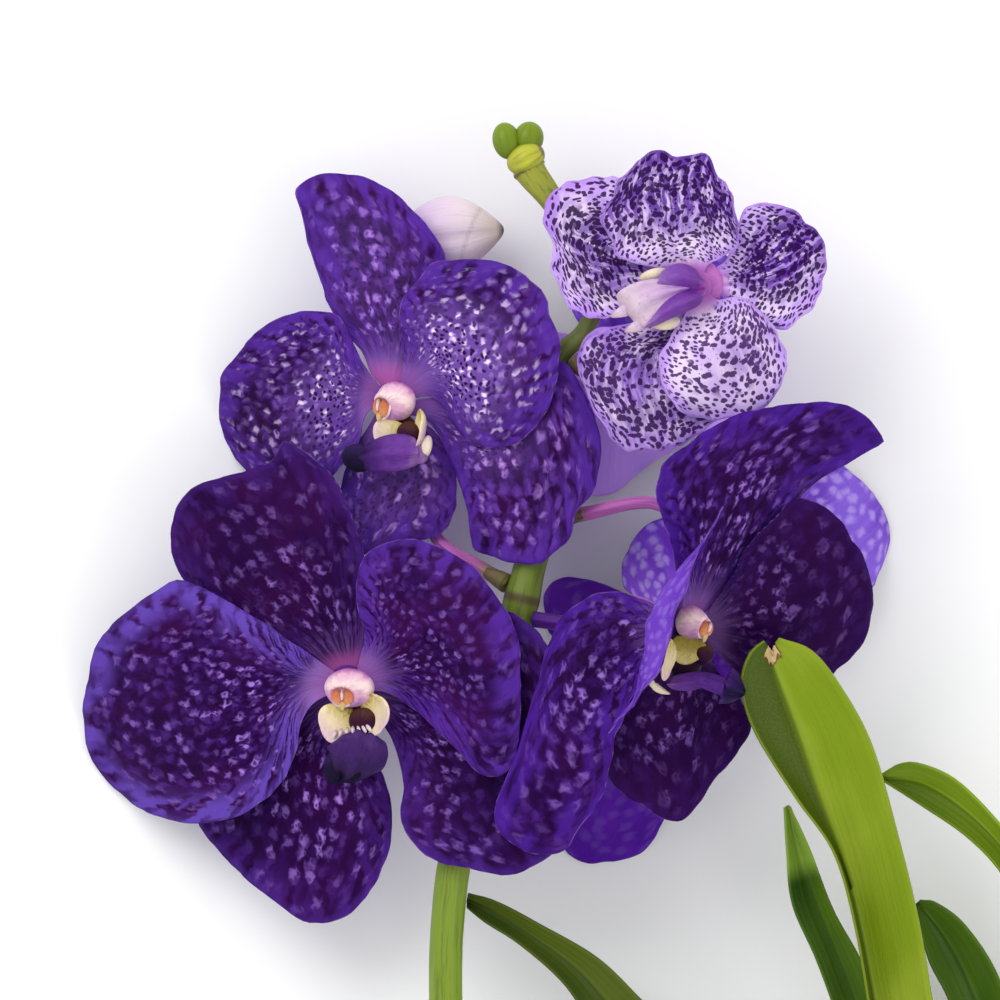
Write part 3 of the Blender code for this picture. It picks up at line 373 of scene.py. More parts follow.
def violet_skin(name, spacing, pale, area, plum=0.5, mark=PALE_MARK, middle=MID_VIOLET, rim=VIOLET,
                flush=0.3, lit=0.75, bars=0.8, dots=0.6, speck=1.5, net=0.0, claw=0.4, dark=0.0,
                seed=0.0):
    skin, tree, shader = new_skin(name)
    plain, moved = sheet_map(tree)
    along = parts_of(tree, plain)[1]
    edge = point_value(tree, "edge")
    bright = oval(tree, plain, area)

    wide = cloud(tree, stretched(tree, plain, 15, 20, seed))
    ground = mixed(tree, mask(tree, wide, 0.38, 0.66, 0.0, plum), DEEP, PLUM)
    haze = cloud(tree, stretched(tree, moved, 2.6, 5.5, seed + 3), 2.0, 0.5)
    ground = mixed(tree, mask(tree, haze, 0.42, 0.72, 0.0, 0.55 * lit), ground, middle)

    cells = cells_of(tree, stretched(tree, moved, spacing, spacing * 1.55, seed), 0.85)
    distance = cells.outputs["Distance"]
    ragged = cloud(tree, stretched(tree, moved, 1.3, 2.0, seed + 7), 1.0)
    distance = plus(tree, distance, mask(tree, ragged, 0.3, 0.7, -0.11, 0.11))
    chance = parts_of(tree, cells.outputs["Color"])
    inner = times(tree, mask(tree, along, 7.0, 18.0), mask(tree, edge, 0.0, 0.5, 0.25, 1.0))
    halo = times(tree, mask(tree, distance, 0.62, 0.12), mask(tree, chance[1], 0.0, 0.6, 0.3, lit))
    haloed = mixed(tree, times(tree, halo, inner), ground, middle)
    haloed = mixed(tree, times(tree, bright, net), haloed, NET_VIOLET) if net else haloed
    specks = cells_of(tree, stretched(tree, moved, speck, speck * 1.2, seed + 9)).outputs["Distance"]
    open_place = mask(tree, specks, 0.14, 0.4, 1.0 - dots, 1.0)
    lucky = mask(tree, chance[0], 0.3, 0.9, 0.1, 1.0)
    heart = times(tree, mask(tree, distance, 0.44, 0.04), lucky)
    heart = times(tree, times(tree, heart, open_place), inner)
    strength = times(tree, mask(tree, bright, 0.0, 1.0, 0.45, 1.0), pale)
    marked = mixed(tree, times(tree, heart, strength), haloed, mark)
    sunk = times(tree, mask(tree, specks, 0.34, 0.16, 0.0, dots), bright)
    marked = mixed(tree, times(tree, sunk, inner), marked, DEEP)

    comb = cloud(tree, stretched(tree, fanned(tree, moved), 1.8, 16, seed + 11), 1.0)
    comb = times(tree, mask(tree, comb, 0.36, 0.62), mask(tree, edge, 0.95, 0.25))
    barred = mixed(tree, times(tree, comb, bars), marked, rim)
    rimmed = mixed(tree, mask(tree, edge, 0.25, 0.02, 0.0, 0.4), barred, rim)
    rimmed = mixed(tree, mask(tree, edge, 0.04, 0.0, 0.0, 0.5), rimmed, RAY_LILAC)

    rays = mask(tree, cloud(tree, stretched(tree, moved, 1.7, 30, seed + 17), 2.0, 0.6), 0.38, 0.66)
    solid = mask(tree, along, 14.0, 5.0, 0.0, claw)
    near = times(tree, solid, mask(tree, rays, 0.0, 1.0, 0.8, 1.0))
    rays = sums(tree, "MAXIMUM", near, times(tree, rays, mask(tree, along, 19.0, 8.0, 0.0, 0.3)))
    rayed = mixed(tree, rays, rimmed, RAY_LILAC)
    flushed = mixed(tree, mask(tree, along, 9.6, 3.2, 0.0, flush), rayed, FLUSH)
    # Painted shade: dark lays the deep violet evenly over the whole petal.
    shaded = mixed(tree, dark, flushed, DEEP) if dark else flushed

    veins = cloud(tree, stretched(tree, moved, 0.9, 24, seed + 5), 2.0, 0.6)
    veins = times(tree, veins, mask(tree, along, 4.0, 16.0, 0.2, 1.0))
    height = plus(tree, veins, times(tree, distance, 0.3))
    finish_skin(tree, shader, shaded, 0.5, height, depth=0.25, gloss=0.03)
    return skin


skin_a = violet_skin(
    "violet_petal_a", 2.7, 0.9, (8, 30, 20, 22), plum=0.7, flush=0.15, lit=0.6, bars=1.0,
    claw=0.85, rim=(0.11, 0.05, 0.37), seed=1.0)
skin_a_right = violet_skin(
    "violet_petal_a_right", 2.7, 0.7, (4, 22, 10, 18), plum=0.9, flush=0.2, lit=0.4, claw=0.6, seed=5.0)
# The top sepal of bloom A has dark=0.35: painted shade.
skin_a_top = violet_skin(
    "violet_sepal_a_top", 3.2, 0.9, (0, 26, 14, 18), plum=0.9, flush=0.8, lit=0.2, bars=0.3,
    claw=0.1, dark=0.35, seed=8.0)
skin_a_sepal = violet_skin(
    "violet_sepal_a", 3.3, 1.0, (0, 28, 12, 18), plum=0.5, flush=0.0, lit=0.4, bars=0.3, claw=0.2,
    seed=12.0)
skin_b = violet_skin(
    "violet_petal_b", 2.3, 0.9, (2, 20, 16, 15), plum=0.4, mark=WHITE_MARK, middle=MID_BRIGHT, lit=0.9,
    dots=0.95, speck=2.0, net=0.4, flush=0.2, claw=0.5, seed=21.0)
skin_b_bright = violet_skin(
    "violet_petal_b_bright", 2.2, 1.0, (2, 23, 19, 18), plum=0.6, mark=WHITE_MARK, middle=MID_BRIGHT,
    lit=1.0, dots=0.95, speck=2.1, net=0.55, flush=0.2, claw=0.5, seed=35.0)
skin_b_sepal = violet_skin(
    "violet_sepal_b", 2.9, 1.0, (-3, 24, 14, 18), plum=0.7, mark=(0.52, 0.28, 0.74),
    middle=MID_BRIGHT, lit=1.0, net=0.25, dots=0.5, flush=0.1, seed=44.0)
skin_b_top = violet_skin(
    "violet_sepal_b_top", 2.6, 1.0, (-2, 26, 14, 22), plum=0.5, middle=MID_BRIGHT, flush=0.7, lit=0.9,
    dots=0.45, speck=1.6, net=0.12, claw=0.6, seed=48.0)
skin_c = violet_skin(
    "violet_petal_c", 3.0, 0.8, (0, 26, 14, 20), plum=0.3, rim=(0.07, 0.014, 0.3), lit=0.7,
    bars=0.6, flush=0.1, seed=52.0)
# A shaded copy of the petal skin of bloom C for its right petal and sepal: dark=0.35 is painted shade.
skin_c_shaded = violet_skin(
    "violet_petal_c_shaded", 3.4, 0.7, (0, 24, 14, 16), plum=0.5, rim=(0.04, 0.008, 0.14), lit=0.2,
    bars=0.3, flush=0.0, dark=0.35, seed=66.0)
print("violet skins made")

# %% [markdown]
# ## The backs of the petals
# The back of a violet petal is paler and plainer: a clear violet with faint lengthwise lines. It is
# a skin of its own, which the thickened sheet wears on its hidden side.

# %% Plain violet skin
BACK_VIOLET = (0.1, 0.018, 0.37)
BACK_LILAC = (0.19, 0.07, 0.56)
BACK_SPOT = (0.54, 0.4, 0.86)


def back_skin(name, base, light, spots, seed):
    skin, tree, shader = new_skin(name)
    plain, moved = sheet_map(tree)
    wide = cloud(tree, stretched(tree, plain, 12, 20, seed))
    lines = cloud(tree, stretched(tree, moved, 0.8, 30, seed + 4), 2.0, 0.6)
    colour = mixed(tree, mask(tree, wide, 0.35, 0.7, 0.0, 0.5), base, light)
    colour = mixed(tree, mask(tree, lines, 0.45, 0.75, 0.0, 0.35), colour, light)
    cells = cells_of(tree, stretched(tree, moved, 2.8, 3.8, seed))
    soft = mask(tree, cells.outputs["Distance"], 0.5, 0.1, 0.0, spots)
    colour = mixed(tree, soft, colour, BACK_SPOT)
    finish_skin(tree, shader, colour, 0.5, lines, depth=0.2, gloss=0.08)
    return skin


skin_back = back_skin("violet_petal_back", BACK_VIOLET, BACK_LILAC, 0.15, seed=3.0)
# skin_rear is the lilac of the backs of bloom E, lightened to near full brightness as painted light, because
# the bloom lies in the shade of the white bloom.
skin_rear = back_skin("violet_rear_bloom", (0.62, 0.3, 1.000), (0.7, 0.42, 1.000), 0.3, seed=9.0)
skin_rear_dark = back_skin("violet_rear_dark", (0.086, 0.006, 0.3), (0.15, 0.024, 0.46), 0.1, seed=14.0)
skin_rear_spots = back_skin("violet_rear_spots", (0.15, 0.05, 0.48), (0.3, 0.16, 0.8), 0.5, seed=17.0)
skin_rear_vivid = back_skin("violet_rear_vivid", (0.06, 0.003, 0.26), (0.11, 0.012, 0.4), 0.05,
                            seed=23.0)
skin_rear_marks = back_skin("violet_rear_marks", (0.17, 0.036, 0.6), (0.33, 0.14, 0.8), 0.7, seed=31.0)
print("back skins made")

# %% [markdown]
# ## The spotted white skin
# The upper bloom is white at its middle and lilac at its rim, and sown with dark purple dots: few
# and large near the middle, many and small further out. The dots are the middles of Voronoi cells of
# two sizes. A violet cloud lies over one oval of each petal, and the dots crowd there.

# %% Spotted skin
WHITE = (0.88, 0.7, 0.96)
SOFT_LILAC = (0.41, 0.2, 0.76)
DOT = (0.022, 0.002, 0.052)
CLOUD_VIOLET = (0.08, 0.015, 0.26)
SPOTTED_FLUSH = (0.46, 0.12, 0.5)


def spotted_skin(name, area, shade=0.6, cloudy=0.75, dot=DOT, seed=0.0):
    skin, tree, shader = new_skin(name)
    plain, moved = sheet_map(tree, 0.6)
    along = parts_of(tree, plain)[1]
    spot = parts_of(tree, moved)
    narrow = point_value(tree, "narrow")
    across = times(tree, spot[0], narrow)
    even = add_node(tree, "CombineXYZ", {0: across, 1: spot[1]}).outputs[0]
    edge = point_value(tree, "edge")
    wide = cloud(tree, stretched(tree, plain, 6, 8, seed), 3.0)
    ground = mixed(tree, mask(tree, wide, 0.35, 0.65, 0.0, shade), WHITE, SOFT_LILAC)
    ground = mixed(tree, mask(tree, edge, 0.4, 0.0, 0.0, 0.7), ground, SOFT_LILAC)
    streaks = cloud(tree, stretched(tree, moved, 1.2, 7, seed + 6), 3.0, 0.6)
    cover = times(tree, oval(tree, plain, area, 1.7), mask(tree, streaks, 0.3, 0.55, 0.35, 1.0))
    ground = mixed(tree, times(tree, cover, cloudy), ground, CLOUD_VIOLET)

    large = cells_of(tree, stretched(tree, even, 2.2, 2.5, seed)).outputs["Distance"]
    small = cells_of(tree, stretched(tree, even, 1.25, 1.45, seed + 9)).outputs["Distance"]
    crowd = mask(tree, streaks, 0.3, 0.7, -0.06, 0.08)
    large = mask(tree, sums(tree, "SUBTRACT", large, crowd), 0.34, 0.25)
    large = times(tree, large, mask(tree, edge, 0.45, 0.8))
    crowd = plus(tree, crowd, mask(tree, cover, 0.0, 1.0, 0.0, 0.12))
    crowd = sums(tree, "SUBTRACT", crowd, mask(tree, edge, 0.75, 1.0, 0.0, 0.3))
    small = mask(tree, sums(tree, "SUBTRACT", small, crowd), 0.37, 0.27)
    dots = sums(tree, "MAXIMUM", large, small)
    dots = times(tree, dots, mask(tree, along, 5.0, 7.0))
    dots = times(tree, dots, mask(tree, edge, 0.03, 0.08))
    dotted = mixed(tree, times(tree, dots, 0.93), ground, dot)
    flushed = mixed(tree, mask(tree, along, 8.0, 2.0, 0.0, 0.85), dotted, SPOTTED_FLUSH)
    veins = cloud(tree, stretched(tree, moved, 0.8, 16, seed + 5), 2.0, 0.6)
    finish_skin(tree, shader, flushed, 0.5, veins, depth=0.22, gloss=0.04)
    return skin


skin_d_left = spotted_skin("spotted_sepal_left", (0, 24, 10, 15), 0.7, 0.85, seed=2.0)
skin_d_top = spotted_skin("spotted_petal_top", (0, 31, 18, 12), 0.45, 0.95, seed=5.0)
skin_d_right = spotted_skin("spotted_sepal_right", (-2, 23, 8, 16), 0.7, 1.0, seed=12.0)
skin_d_low = spotted_skin("spotted_petal_low", (-7, 24, 8, 9), 0.4, 0.4, (0.055, 0.012, 0.115), 17.0)
skin_d_rear = spotted_skin("spotted_sepal_low", (0, 28, 17, 16), 0.8, 0.7, (0.036, 0.006, 0.08), 23.0)
skin_d_back = back_skin("spotted_back", (0.42, 0.28, 0.7), (0.56, 0.43, 0.8), 0.0, seed=6.0)
print("spotted skins made")

# %% [markdown]
# ## Skins of the column and the lip
# The column is fleshy and almost waxy: white with a pink blush, warmer where the cap sits, with a
# pale band that is partly painted highlight and lilac painted shade towards the lip. The side lobes
# of the lip are cream, yellow-green inside, with lilac rims and a painted dark shade at one side of
# the hollow, and the middle lobe is a grey violet that turns nearly black at its tip. These pieces
# are small, so each keeps a value on its points, from its root to its end, and the colours follow it.

# %% Column and lip skins
def fleshy_skin(name, stops, grain=0.5, roughness=0.38, speck=0.0, dark=(0.1, 0.02, 0.1), gloss=0.25,
                coat=0.12):
    """A waxy skin whose colour runs through the stops along a value kept on the points."""
    skin, tree, shader = new_skin(name)
    plain, moved = sheet_map(tree, 0.3)
    run = point_value(tree, "run")
    uneven = cloud(tree, stretched(tree, moved, grain * 3, grain * 5), 2.0)
    run = plus(tree, run, mask(tree, uneven, 0.3, 0.7, -0.06, 0.06))
    colour = through(tree, run, stops, "EASE")
    fine = cloud(tree, stretched(tree, moved, grain * 0.5, grain * 1.6), 3.0, 0.6)
    colour = mixed(tree, mask(tree, fine, 0.5, 0.8, 0.0, speck), colour, dark)
    finish_skin(tree, shader, colour, roughness, fine, depth=0.12, gloss=gloss, coat=coat)
    shader.inputs["Subsurface Weight"].default_value = 0.12
    shader.inputs["Subsurface Radius"].default_value = (0.002, 0.001, 0.001)
    shader.inputs["Subsurface Scale"].default_value = 0.5
    return skin


# column_skin: the magenta stops are the column's own blush; the white-pink middle stop is partly painted
# highlight, and the lilac end is painted shade.
column_skin = fleshy_skin("column_waxy_white", {
    0.0: (0.42, 0.09, 0.34), 0.22: (0.56, 0.2, 0.45), 0.42: (0.76, 0.46, 0.6),
    0.6: (0.88, 0.66, 0.64), 0.8: (0.64, 0.36, 0.5), 1.0: (0.42, 0.19, 0.44),
}, speck=0.3, dark=(0.48, 0.2, 0.46))
cap_skin = fleshy_skin("anther_cap_orange", {
    0.0: (0.36, 0.09, 0.04), 0.35: (0.56, 0.16, 0.06), 0.7: (0.68, 0.25, 0.11),
    1.0: (0.76, 0.42, 0.25),
}, grain=0.3, speck=0.3, dark=(0.3, 0.06, 0.04))
beak_skin = fleshy_skin("anther_beak_yellow", {
    0.0: (0.52, 0.24, 0.09), 0.5: (0.66, 0.43, 0.16), 1.0: (0.62, 0.5, 0.24),
}, grain=0.2)
# The darkest first stops of ear_skin and olive_skin are painted shade in the hollow of a lobe; the others
# are the lobe's own colours.
ear_skin = fleshy_skin("lip_side_cream", {
    0.0: (0.11, 0.06, 0.012), 0.14: (0.3, 0.22, 0.03), 0.3: (0.62, 0.5, 0.19),
    0.52: (0.8, 0.66, 0.43), 0.78: (0.7, 0.51, 0.52), 1.0: (0.42, 0.23, 0.5),
}, grain=0.4, speck=0.2, dark=(0.42, 0.28, 0.22))
knob_skin = fleshy_skin("lip_cream", {
    0.0: (0.62, 0.48, 0.5), 0.5: (0.82, 0.7, 0.52), 1.0: (0.7, 0.56, 0.4),
}, grain=0.3, speck=0.2, dark=(0.42, 0.28, 0.22))
throat_skin = fleshy_skin("lip_throat_maroon", {
    0.0: (0.014, 0.002, 0.01), 0.45: (0.04, 0.005, 0.02), 0.8: (0.085, 0.022, 0.016),
    1.0: (0.2, 0.11, 0.03),
}, grain=0.4, roughness=0.4, gloss=0.06, coat=0.0)
olive_skin = fleshy_skin("lip_throat_olive", {
    0.0: (0.11, 0.07, 0.012), 0.35: (0.26, 0.2, 0.022), 0.7: (0.52, 0.43, 0.15),
    1.0: (0.76, 0.62, 0.52),
}, grain=0.4, roughness=0.4, gloss=0.15, coat=0.05)
seat_skin = fleshy_skin("receptacle_lilac", {
    0.0: (0.11, 0.02, 0.2), 0.5: (0.15, 0.03, 0.23), 1.0: (0.11, 0.02, 0.2),
}, grain=0.8, speck=0.4, dark=(0.05, 0.008, 0.1), gloss=0.06, coat=0.0)
root_skin = fleshy_skin("lip_root_dark", {
    0.0: (0.09, 0.034, 0.02), 0.5: (0.036, 0.006, 0.022), 1.0: (0.03, 0.005, 0.045),
}, grain=0.8, speck=0.3, dark=(0.014, 0.002, 0.02), gloss=0.06, coat=0.0)
lobe_skin = fleshy_skin("lip_middle_violet", {
    0.0: (0.26, 0.15, 0.32), 0.12: (0.07, 0.026, 0.15), 0.45: (0.046, 0.015, 0.11),
    0.7: (0.026, 0.01, 0.058), 0.86: (0.008, 0.004, 0.02), 1.0: (0.004, 0.002, 0.012),
}, grain=0.9, roughness=0.5, speck=0.6, dark=(0.018, 0.006, 0.05), gloss=0.06, coat=0.0)
lobe_b_skin = fleshy_skin("lip_middle_purple", {
    0.0: (0.42, 0.3, 0.42), 0.16: (0.24, 0.11, 0.33), 0.4: (0.13, 0.036, 0.27),
    0.66: (0.06, 0.014, 0.15), 0.84: (0.02, 0.005, 0.05), 1.0: (0.006, 0.002, 0.018),
}, grain=0.9, roughness=0.45, speck=0.5, dark=(0.04, 0.008, 0.12), gloss=0.08, coat=0.0)
lobe_c_skin = fleshy_skin("lip_middle_dark", {
    0.0: (0.2, 0.09, 0.27), 0.2: (0.12, 0.034, 0.26), 0.55: (0.062, 0.014, 0.17),
    0.8: (0.014, 0.005, 0.045), 1.0: (0.005, 0.003, 0.02),
}, grain=0.9, roughness=0.45, speck=0.6, dark=(0.014, 0.003, 0.05), gloss=0.08, coat=0.0)
black_skin = fleshy_skin("lip_tip_black", {
    0.0: (0.03, 0.012, 0.08), 0.5: (0.01, 0.005, 0.03), 1.0: (0.006, 0.003, 0.016),
}, grain=0.5, roughness=0.5, gloss=0.06, coat=0.0)
tooth_skin = fleshy_skin("lip_teeth_pale", {
    0.0: (0.46, 0.3, 0.4), 0.5: (0.78, 0.64, 0.66), 1.0: (0.86, 0.76, 0.74),
}, grain=0.2)
flush_skin = fleshy_skin("column_magenta", {
    0.0: (0.5, 0.15, 0.5), 0.5: (0.33, 0.07, 0.36), 1.0: (0.42, 0.18, 0.52),
}, grain=0.4, speck=0.5, dark=(0.2, 0.03, 0.26))
fold_skin = fleshy_skin("lip_d_violet", {
    0.0: (0.36, 0.09, 0.42), 0.22: (0.13, 0.022, 0.25), 0.55: (0.165, 0.04, 0.33),
    0.85: (0.25, 0.11, 0.4), 1.0: (0.52, 0.36, 0.52),
}, grain=0.9, speck=0.6, dark=(0.07, 0.012, 0.18))
tail_skin = fleshy_skin("lip_d_pale", {
    0.0: (0.3, 0.11, 0.44), 0.3: (0.48, 0.29, 0.56), 0.7: (0.62, 0.48, 0.58),
    1.0: (0.43, 0.3, 0.38),
}, grain=0.9, speck=0.5, dark=(0.33, 0.19, 0.4))
print("column and lip skins made")

# %% [markdown]
# ## Green skins
# Leaves are leathery and a little glossy. Fine parallel lines run along them, with soft blotches,
# small yellow-green specks and a paler edge. One half of each folded leaf is painted darker as shade,
# and a thin painted shade lies along the keel. A withered tip turns from rust to a dry straw colour.

# %% Leaf skins
LEAF_BRIGHT = (0.18, 0.27, 0.005)
LEAF_MID = (0.04, 0.066, 0.003)
LEAF_LIME = (0.24, 0.38, 0.05)
DEEP_GREENS = ((0.03, 0.084, 0.007), (0.08, 0.16, 0.01), (0.016, 0.05, 0.005))
OLIVE_GREENS = ((0.045, 0.078, 0.006), (0.08, 0.115, 0.01), (0.018, 0.036, 0.004))
RUST = (0.11, 0.05, 0.018)
DRY = (0.56, 0.41, 0.2)
DRY_DARK = (0.24, 0.12, 0.05)


def leaf_skin(name, base, light, dark, shaded_half, seed, lime=0.0):
    skin, tree, shader = new_skin(name)
    plain, moved = sheet_map(tree, 0.4)
    across, along = parts_of(tree, plain)[:2]
    edge = point_value(tree, "edge")
    wide = cloud(tree, stretched(tree, plain, 16, 46, seed))
    colour = mixed(tree, mask(tree, wide, 0.35, 0.68), base, light)
    # Painted shade: the half of the folded leaf on one side of the keel is darkened by shaded_half.
    side = mask(tree, across, 1.2, -1.2, 0.0, shaded_half)
    colour = mixed(tree, side, colour, dark)
    lines = cloud(tree, stretched(tree, moved, 0.55, 70, seed + 4), 3.0, 0.6)
    colour = mixed(tree, mask(tree, lines, 0.45, 0.75, 0.0, 0.14), colour, dark)
    pores = cells_of(tree, stretched(tree, moved, 0.6, 0.8, seed)).outputs["Distance"]
    colour = mixed(tree, mask(tree, pores, 0.36, 0.1, 0.0, 0.12), colour, light)
    # Painted shade: a thin darker line along the keel, in the crease of the fold.
    keel = add_node(tree, "Math", {0: across}, operation="ABSOLUTE").outputs[0]
    colour = mixed(tree, mask(tree, keel, 0.75, 0.15, 0.0, 0.5), colour, dark)
    colour = mixed(tree, mask(tree, edge, 0.07, 0.01, 0.0, 0.5), colour, light)
    if lime:
        colour = mixed(tree, mask(tree, along, lime, lime + 6), colour, LEAF_LIME)
    withered = point_value(tree, "withered")
    torn = cloud(tree, stretched(tree, moved, 2.0, 5.0, seed + 8), 3.0, 0.6)
    rust = plus(tree, withered, mask(tree, torn, 0.3, 0.7, -0.12, 0.12))
    dry = mask(tree, rust, 0.36, 0.5)
    colour = mixed(tree, mask(tree, rust, 0.22, 0.34), colour, RUST)
    colour = mixed(tree, dry, colour, DRY)
    colour = mixed(tree, mask(tree, torn, 0.55, 0.72, 0.0, dry), colour, DRY_DARK)
    height = plus(tree, lines, times(tree, pores, 0.2))
    finish_skin(tree, shader, colour, 0.36, height, depth=0.12, gloss=0.12, coat=0.03)
    return skin


leaf_bright = leaf_skin("leaf_bright", LEAF_BRIGHT, (0.27, 0.35, 0.022), LEAF_MID, 0.92, 1.0)
leaf_plain = leaf_skin("leaf_plain", (0.14, 0.245, 0.004), (0.21, 0.32, 0.016), LEAF_MID, 0.5, 2.0)
leaf_deep = leaf_skin("leaf_deep", *DEEP_GREENS, 0.4, 3.0)
leaf_limed = leaf_skin("leaf_lime_tip", *DEEP_GREENS, 0.4, 3.0, lime=88.0)
leaf_olive = leaf_skin("leaf_olive", *OLIVE_GREENS, 0.5, 4.0)
print("leaf skins made")

# %% [markdown]
# ## Skins of the stems and buds
# Stems, pedicels, bracts and buds are ribbed and streaked along their run. One recipe serves them
# all: a colour that runs through its stops from the root to the tip, long darker streaks over it, and
# a brown scar where the mesh keeps one on its points.

# %% Stem, pedicel and bud skins
SCAR_BROWN = (0.075, 0.04, 0.022)


def stem_skin(name, stops, streak, streaks, seed):
    """A ribbed stem whose colour runs through the stops, with long darker streaks."""
    skin, tree, shader = new_skin(name)
    plain, moved = sheet_map(tree, 0.3)
    run = point_value(tree, "run")
    colour = through(tree, run, stops)
    lines = cloud(tree, stretched(tree, moved, 0.8, 14, seed), 3.0, 0.6)
    blots = cloud(tree, stretched(tree, moved, 2.2, 9, seed + 4), 2.0)
    colour = mixed(tree, mask(tree, lines, 0.48, 0.72, 0.0, streaks), colour, streak)
    colour = mixed(tree, mask(tree, blots, 0.55, 0.78, 0.0, streaks * 0.7), colour, streak)
    scar = point_value(tree, "scar")
    colour = mixed(tree, mask(tree, scar, 0.2, 0.8, 0.0, 0.8), colour, SCAR_BROWN)
    finish_skin(tree, shader, colour, 0.38, lines, depth=0.12, gloss=0.2, coat=0.06)
    return skin


# The yellow-olive from 0.86 on is the stem's own colour near its tip, lightened further as painted light
# where the stem lies in the shade of the white bloom.
flower_stem_skin = stem_skin("flower_stem_green", {
    0.0: (0.11, 0.19, 0.012), 0.3: (0.18, 0.27, 0.018), 0.62: (0.15, 0.195, 0.036),
    0.76: (0.14, 0.155, 0.036), 0.86: (0.3, 0.32, 0.036), 1.0: (0.27, 0.29, 0.036),
}, (0.055, 0.065, 0.022), 0.45, seed=1.0)
leafy_stem_skin = stem_skin("leafy_stem_green", {
    0.0: (0.26, 0.24, 0.11), 0.12: (0.15, 0.2, 0.04), 1.0: (0.11, 0.17, 0.016),
}, (0.06, 0.08, 0.022), 0.4, seed=3.0)
sheath_skin = stem_skin("sheath_green", {
    0.0: (0.16, 0.18, 0.05), 0.5: (0.11, 0.16, 0.014), 1.0: (0.08, 0.13, 0.01),
}, (0.05, 0.07, 0.016), 0.35, seed=15.0)
pedicel_skin = stem_skin("pedicel_lilac", {
    0.0: (0.26, 0.23, 0.04), 0.09: (0.32, 0.26, 0.05), 0.16: (0.42, 0.11, 0.36),
    0.6: (0.52, 0.14, 0.55), 1.0: (0.52, 0.26, 0.66),
}, (0.16, 0.02, 0.2), 0.7, seed=5.0)
pedicel_dark_skin = stem_skin("pedicel_violet", {
    0.0: (0.07, 0.012, 0.2), 0.3: (0.1, 0.016, 0.24), 0.42: (0.42, 0.11, 0.42),
    1.0: (0.52, 0.26, 0.66),
}, (0.06, 0.008, 0.12), 0.6, seed=6.0)
bract_skin = stem_skin("bract_brown", {
    0.0: (0.17, 0.15, 0.05), 0.5: (0.19, 0.13, 0.06), 1.0: (0.09, 0.045, 0.025),
}, (0.06, 0.03, 0.018), 0.5, seed=7.0)
bud_pale_skin = stem_skin("bud_lilac_white", {
    0.0: (0.46, 0.28, 0.56), 0.3: (0.64, 0.48, 0.68), 0.6: (0.78, 0.66, 0.7),
    0.82: (0.6, 0.5, 0.43), 0.92: (0.06, 0.055, 0.022),
}, (0.56, 0.34, 0.64), 0.3, seed=9.0)
bud_green_skin = stem_skin("bud_green", {
    0.0: (0.11, 0.16, 0.008), 0.5: (0.14, 0.21, 0.008), 1.0: (0.2, 0.28, 0.014),
}, (0.08, 0.12, 0.008), 0.2, seed=11.0)
bud_node_skin = stem_skin("bud_node_yellow", {
    0.0: (0.3, 0.32, 0.03), 0.5: (0.46, 0.47, 0.04), 1.0: (0.36, 0.38, 0.03),
}, (0.11, 0.09, 0.02), 0.45, seed=13.0)
print("stem, pedicel and bud skins made")

# %% [markdown]
# ## One tepal
# A petal is cut from a rim and stretched like a sheet over it, then worked: a sunken midrib, a few
# soft folds along it, and a rim that waves. The distance from the rim is kept on each point, because
# the colours change near it, and so is the width of the sheet there. Solidify gives the thickness and
# puts the skin of the back on the hidden side.

# %% Tepal builder
CELLS = (40, 42)
THICKNESS = 0.27
LOWEST = 0.45
FOLDS = 5
RIM_REACH = 10


def on_seat(facing, point):
    """The first point of a rim, whose height is measured from the bloom's tilted seat."""
    x, y, height = point
    return x, y, height - (facing[0] * x + facing[1] * y) / facing[2]


def blade_point(rim, across, along, bulge):
    """A point of the sheet stretched across a rim of four sides, and pushed out by its bulge."""
    start, end, side_a, side_b, u, v = *rim, across, along
    flat = side_a * (1 - u) + side_b * u + start[0].lerp(start[1], u) * (1 - v) + end * v
    corners = (start[0] * (1 - u) + start[1] * u) * (1 - v) + (start[2] * (1 - u) + start[3] * u) * v
    return flat - corners + bulge * math.sin(math.pi * u) * math.sin(math.pi * v) ** 2


def face_towards(mesh, front):
    """Turns the faces of a sheet so that its normals look the way of its front."""
    bm = bmesh.new()
    bm.from_mesh(mesh)
    total = Vector()
    for face in bm.faces:
        total += face.normal * face.calc_area()
    if total.dot(Vector(front)) < 0:
        bmesh.ops.reverse_faces(bm, faces=bm.faces)
    bm.to_mesh(mesh)
    bm.free()


def thicken(piece, thickness, backed=True):
    """A live Solidify that thickens the sheet, and gives its hidden side the skin of the back."""
    solidify = piece.modifiers.new("thickness", "SOLIDIFY")
    solidify.thickness = thickness * MM
    solidify.offset = 0
    solidify.material_offset = 1 if backed else 0


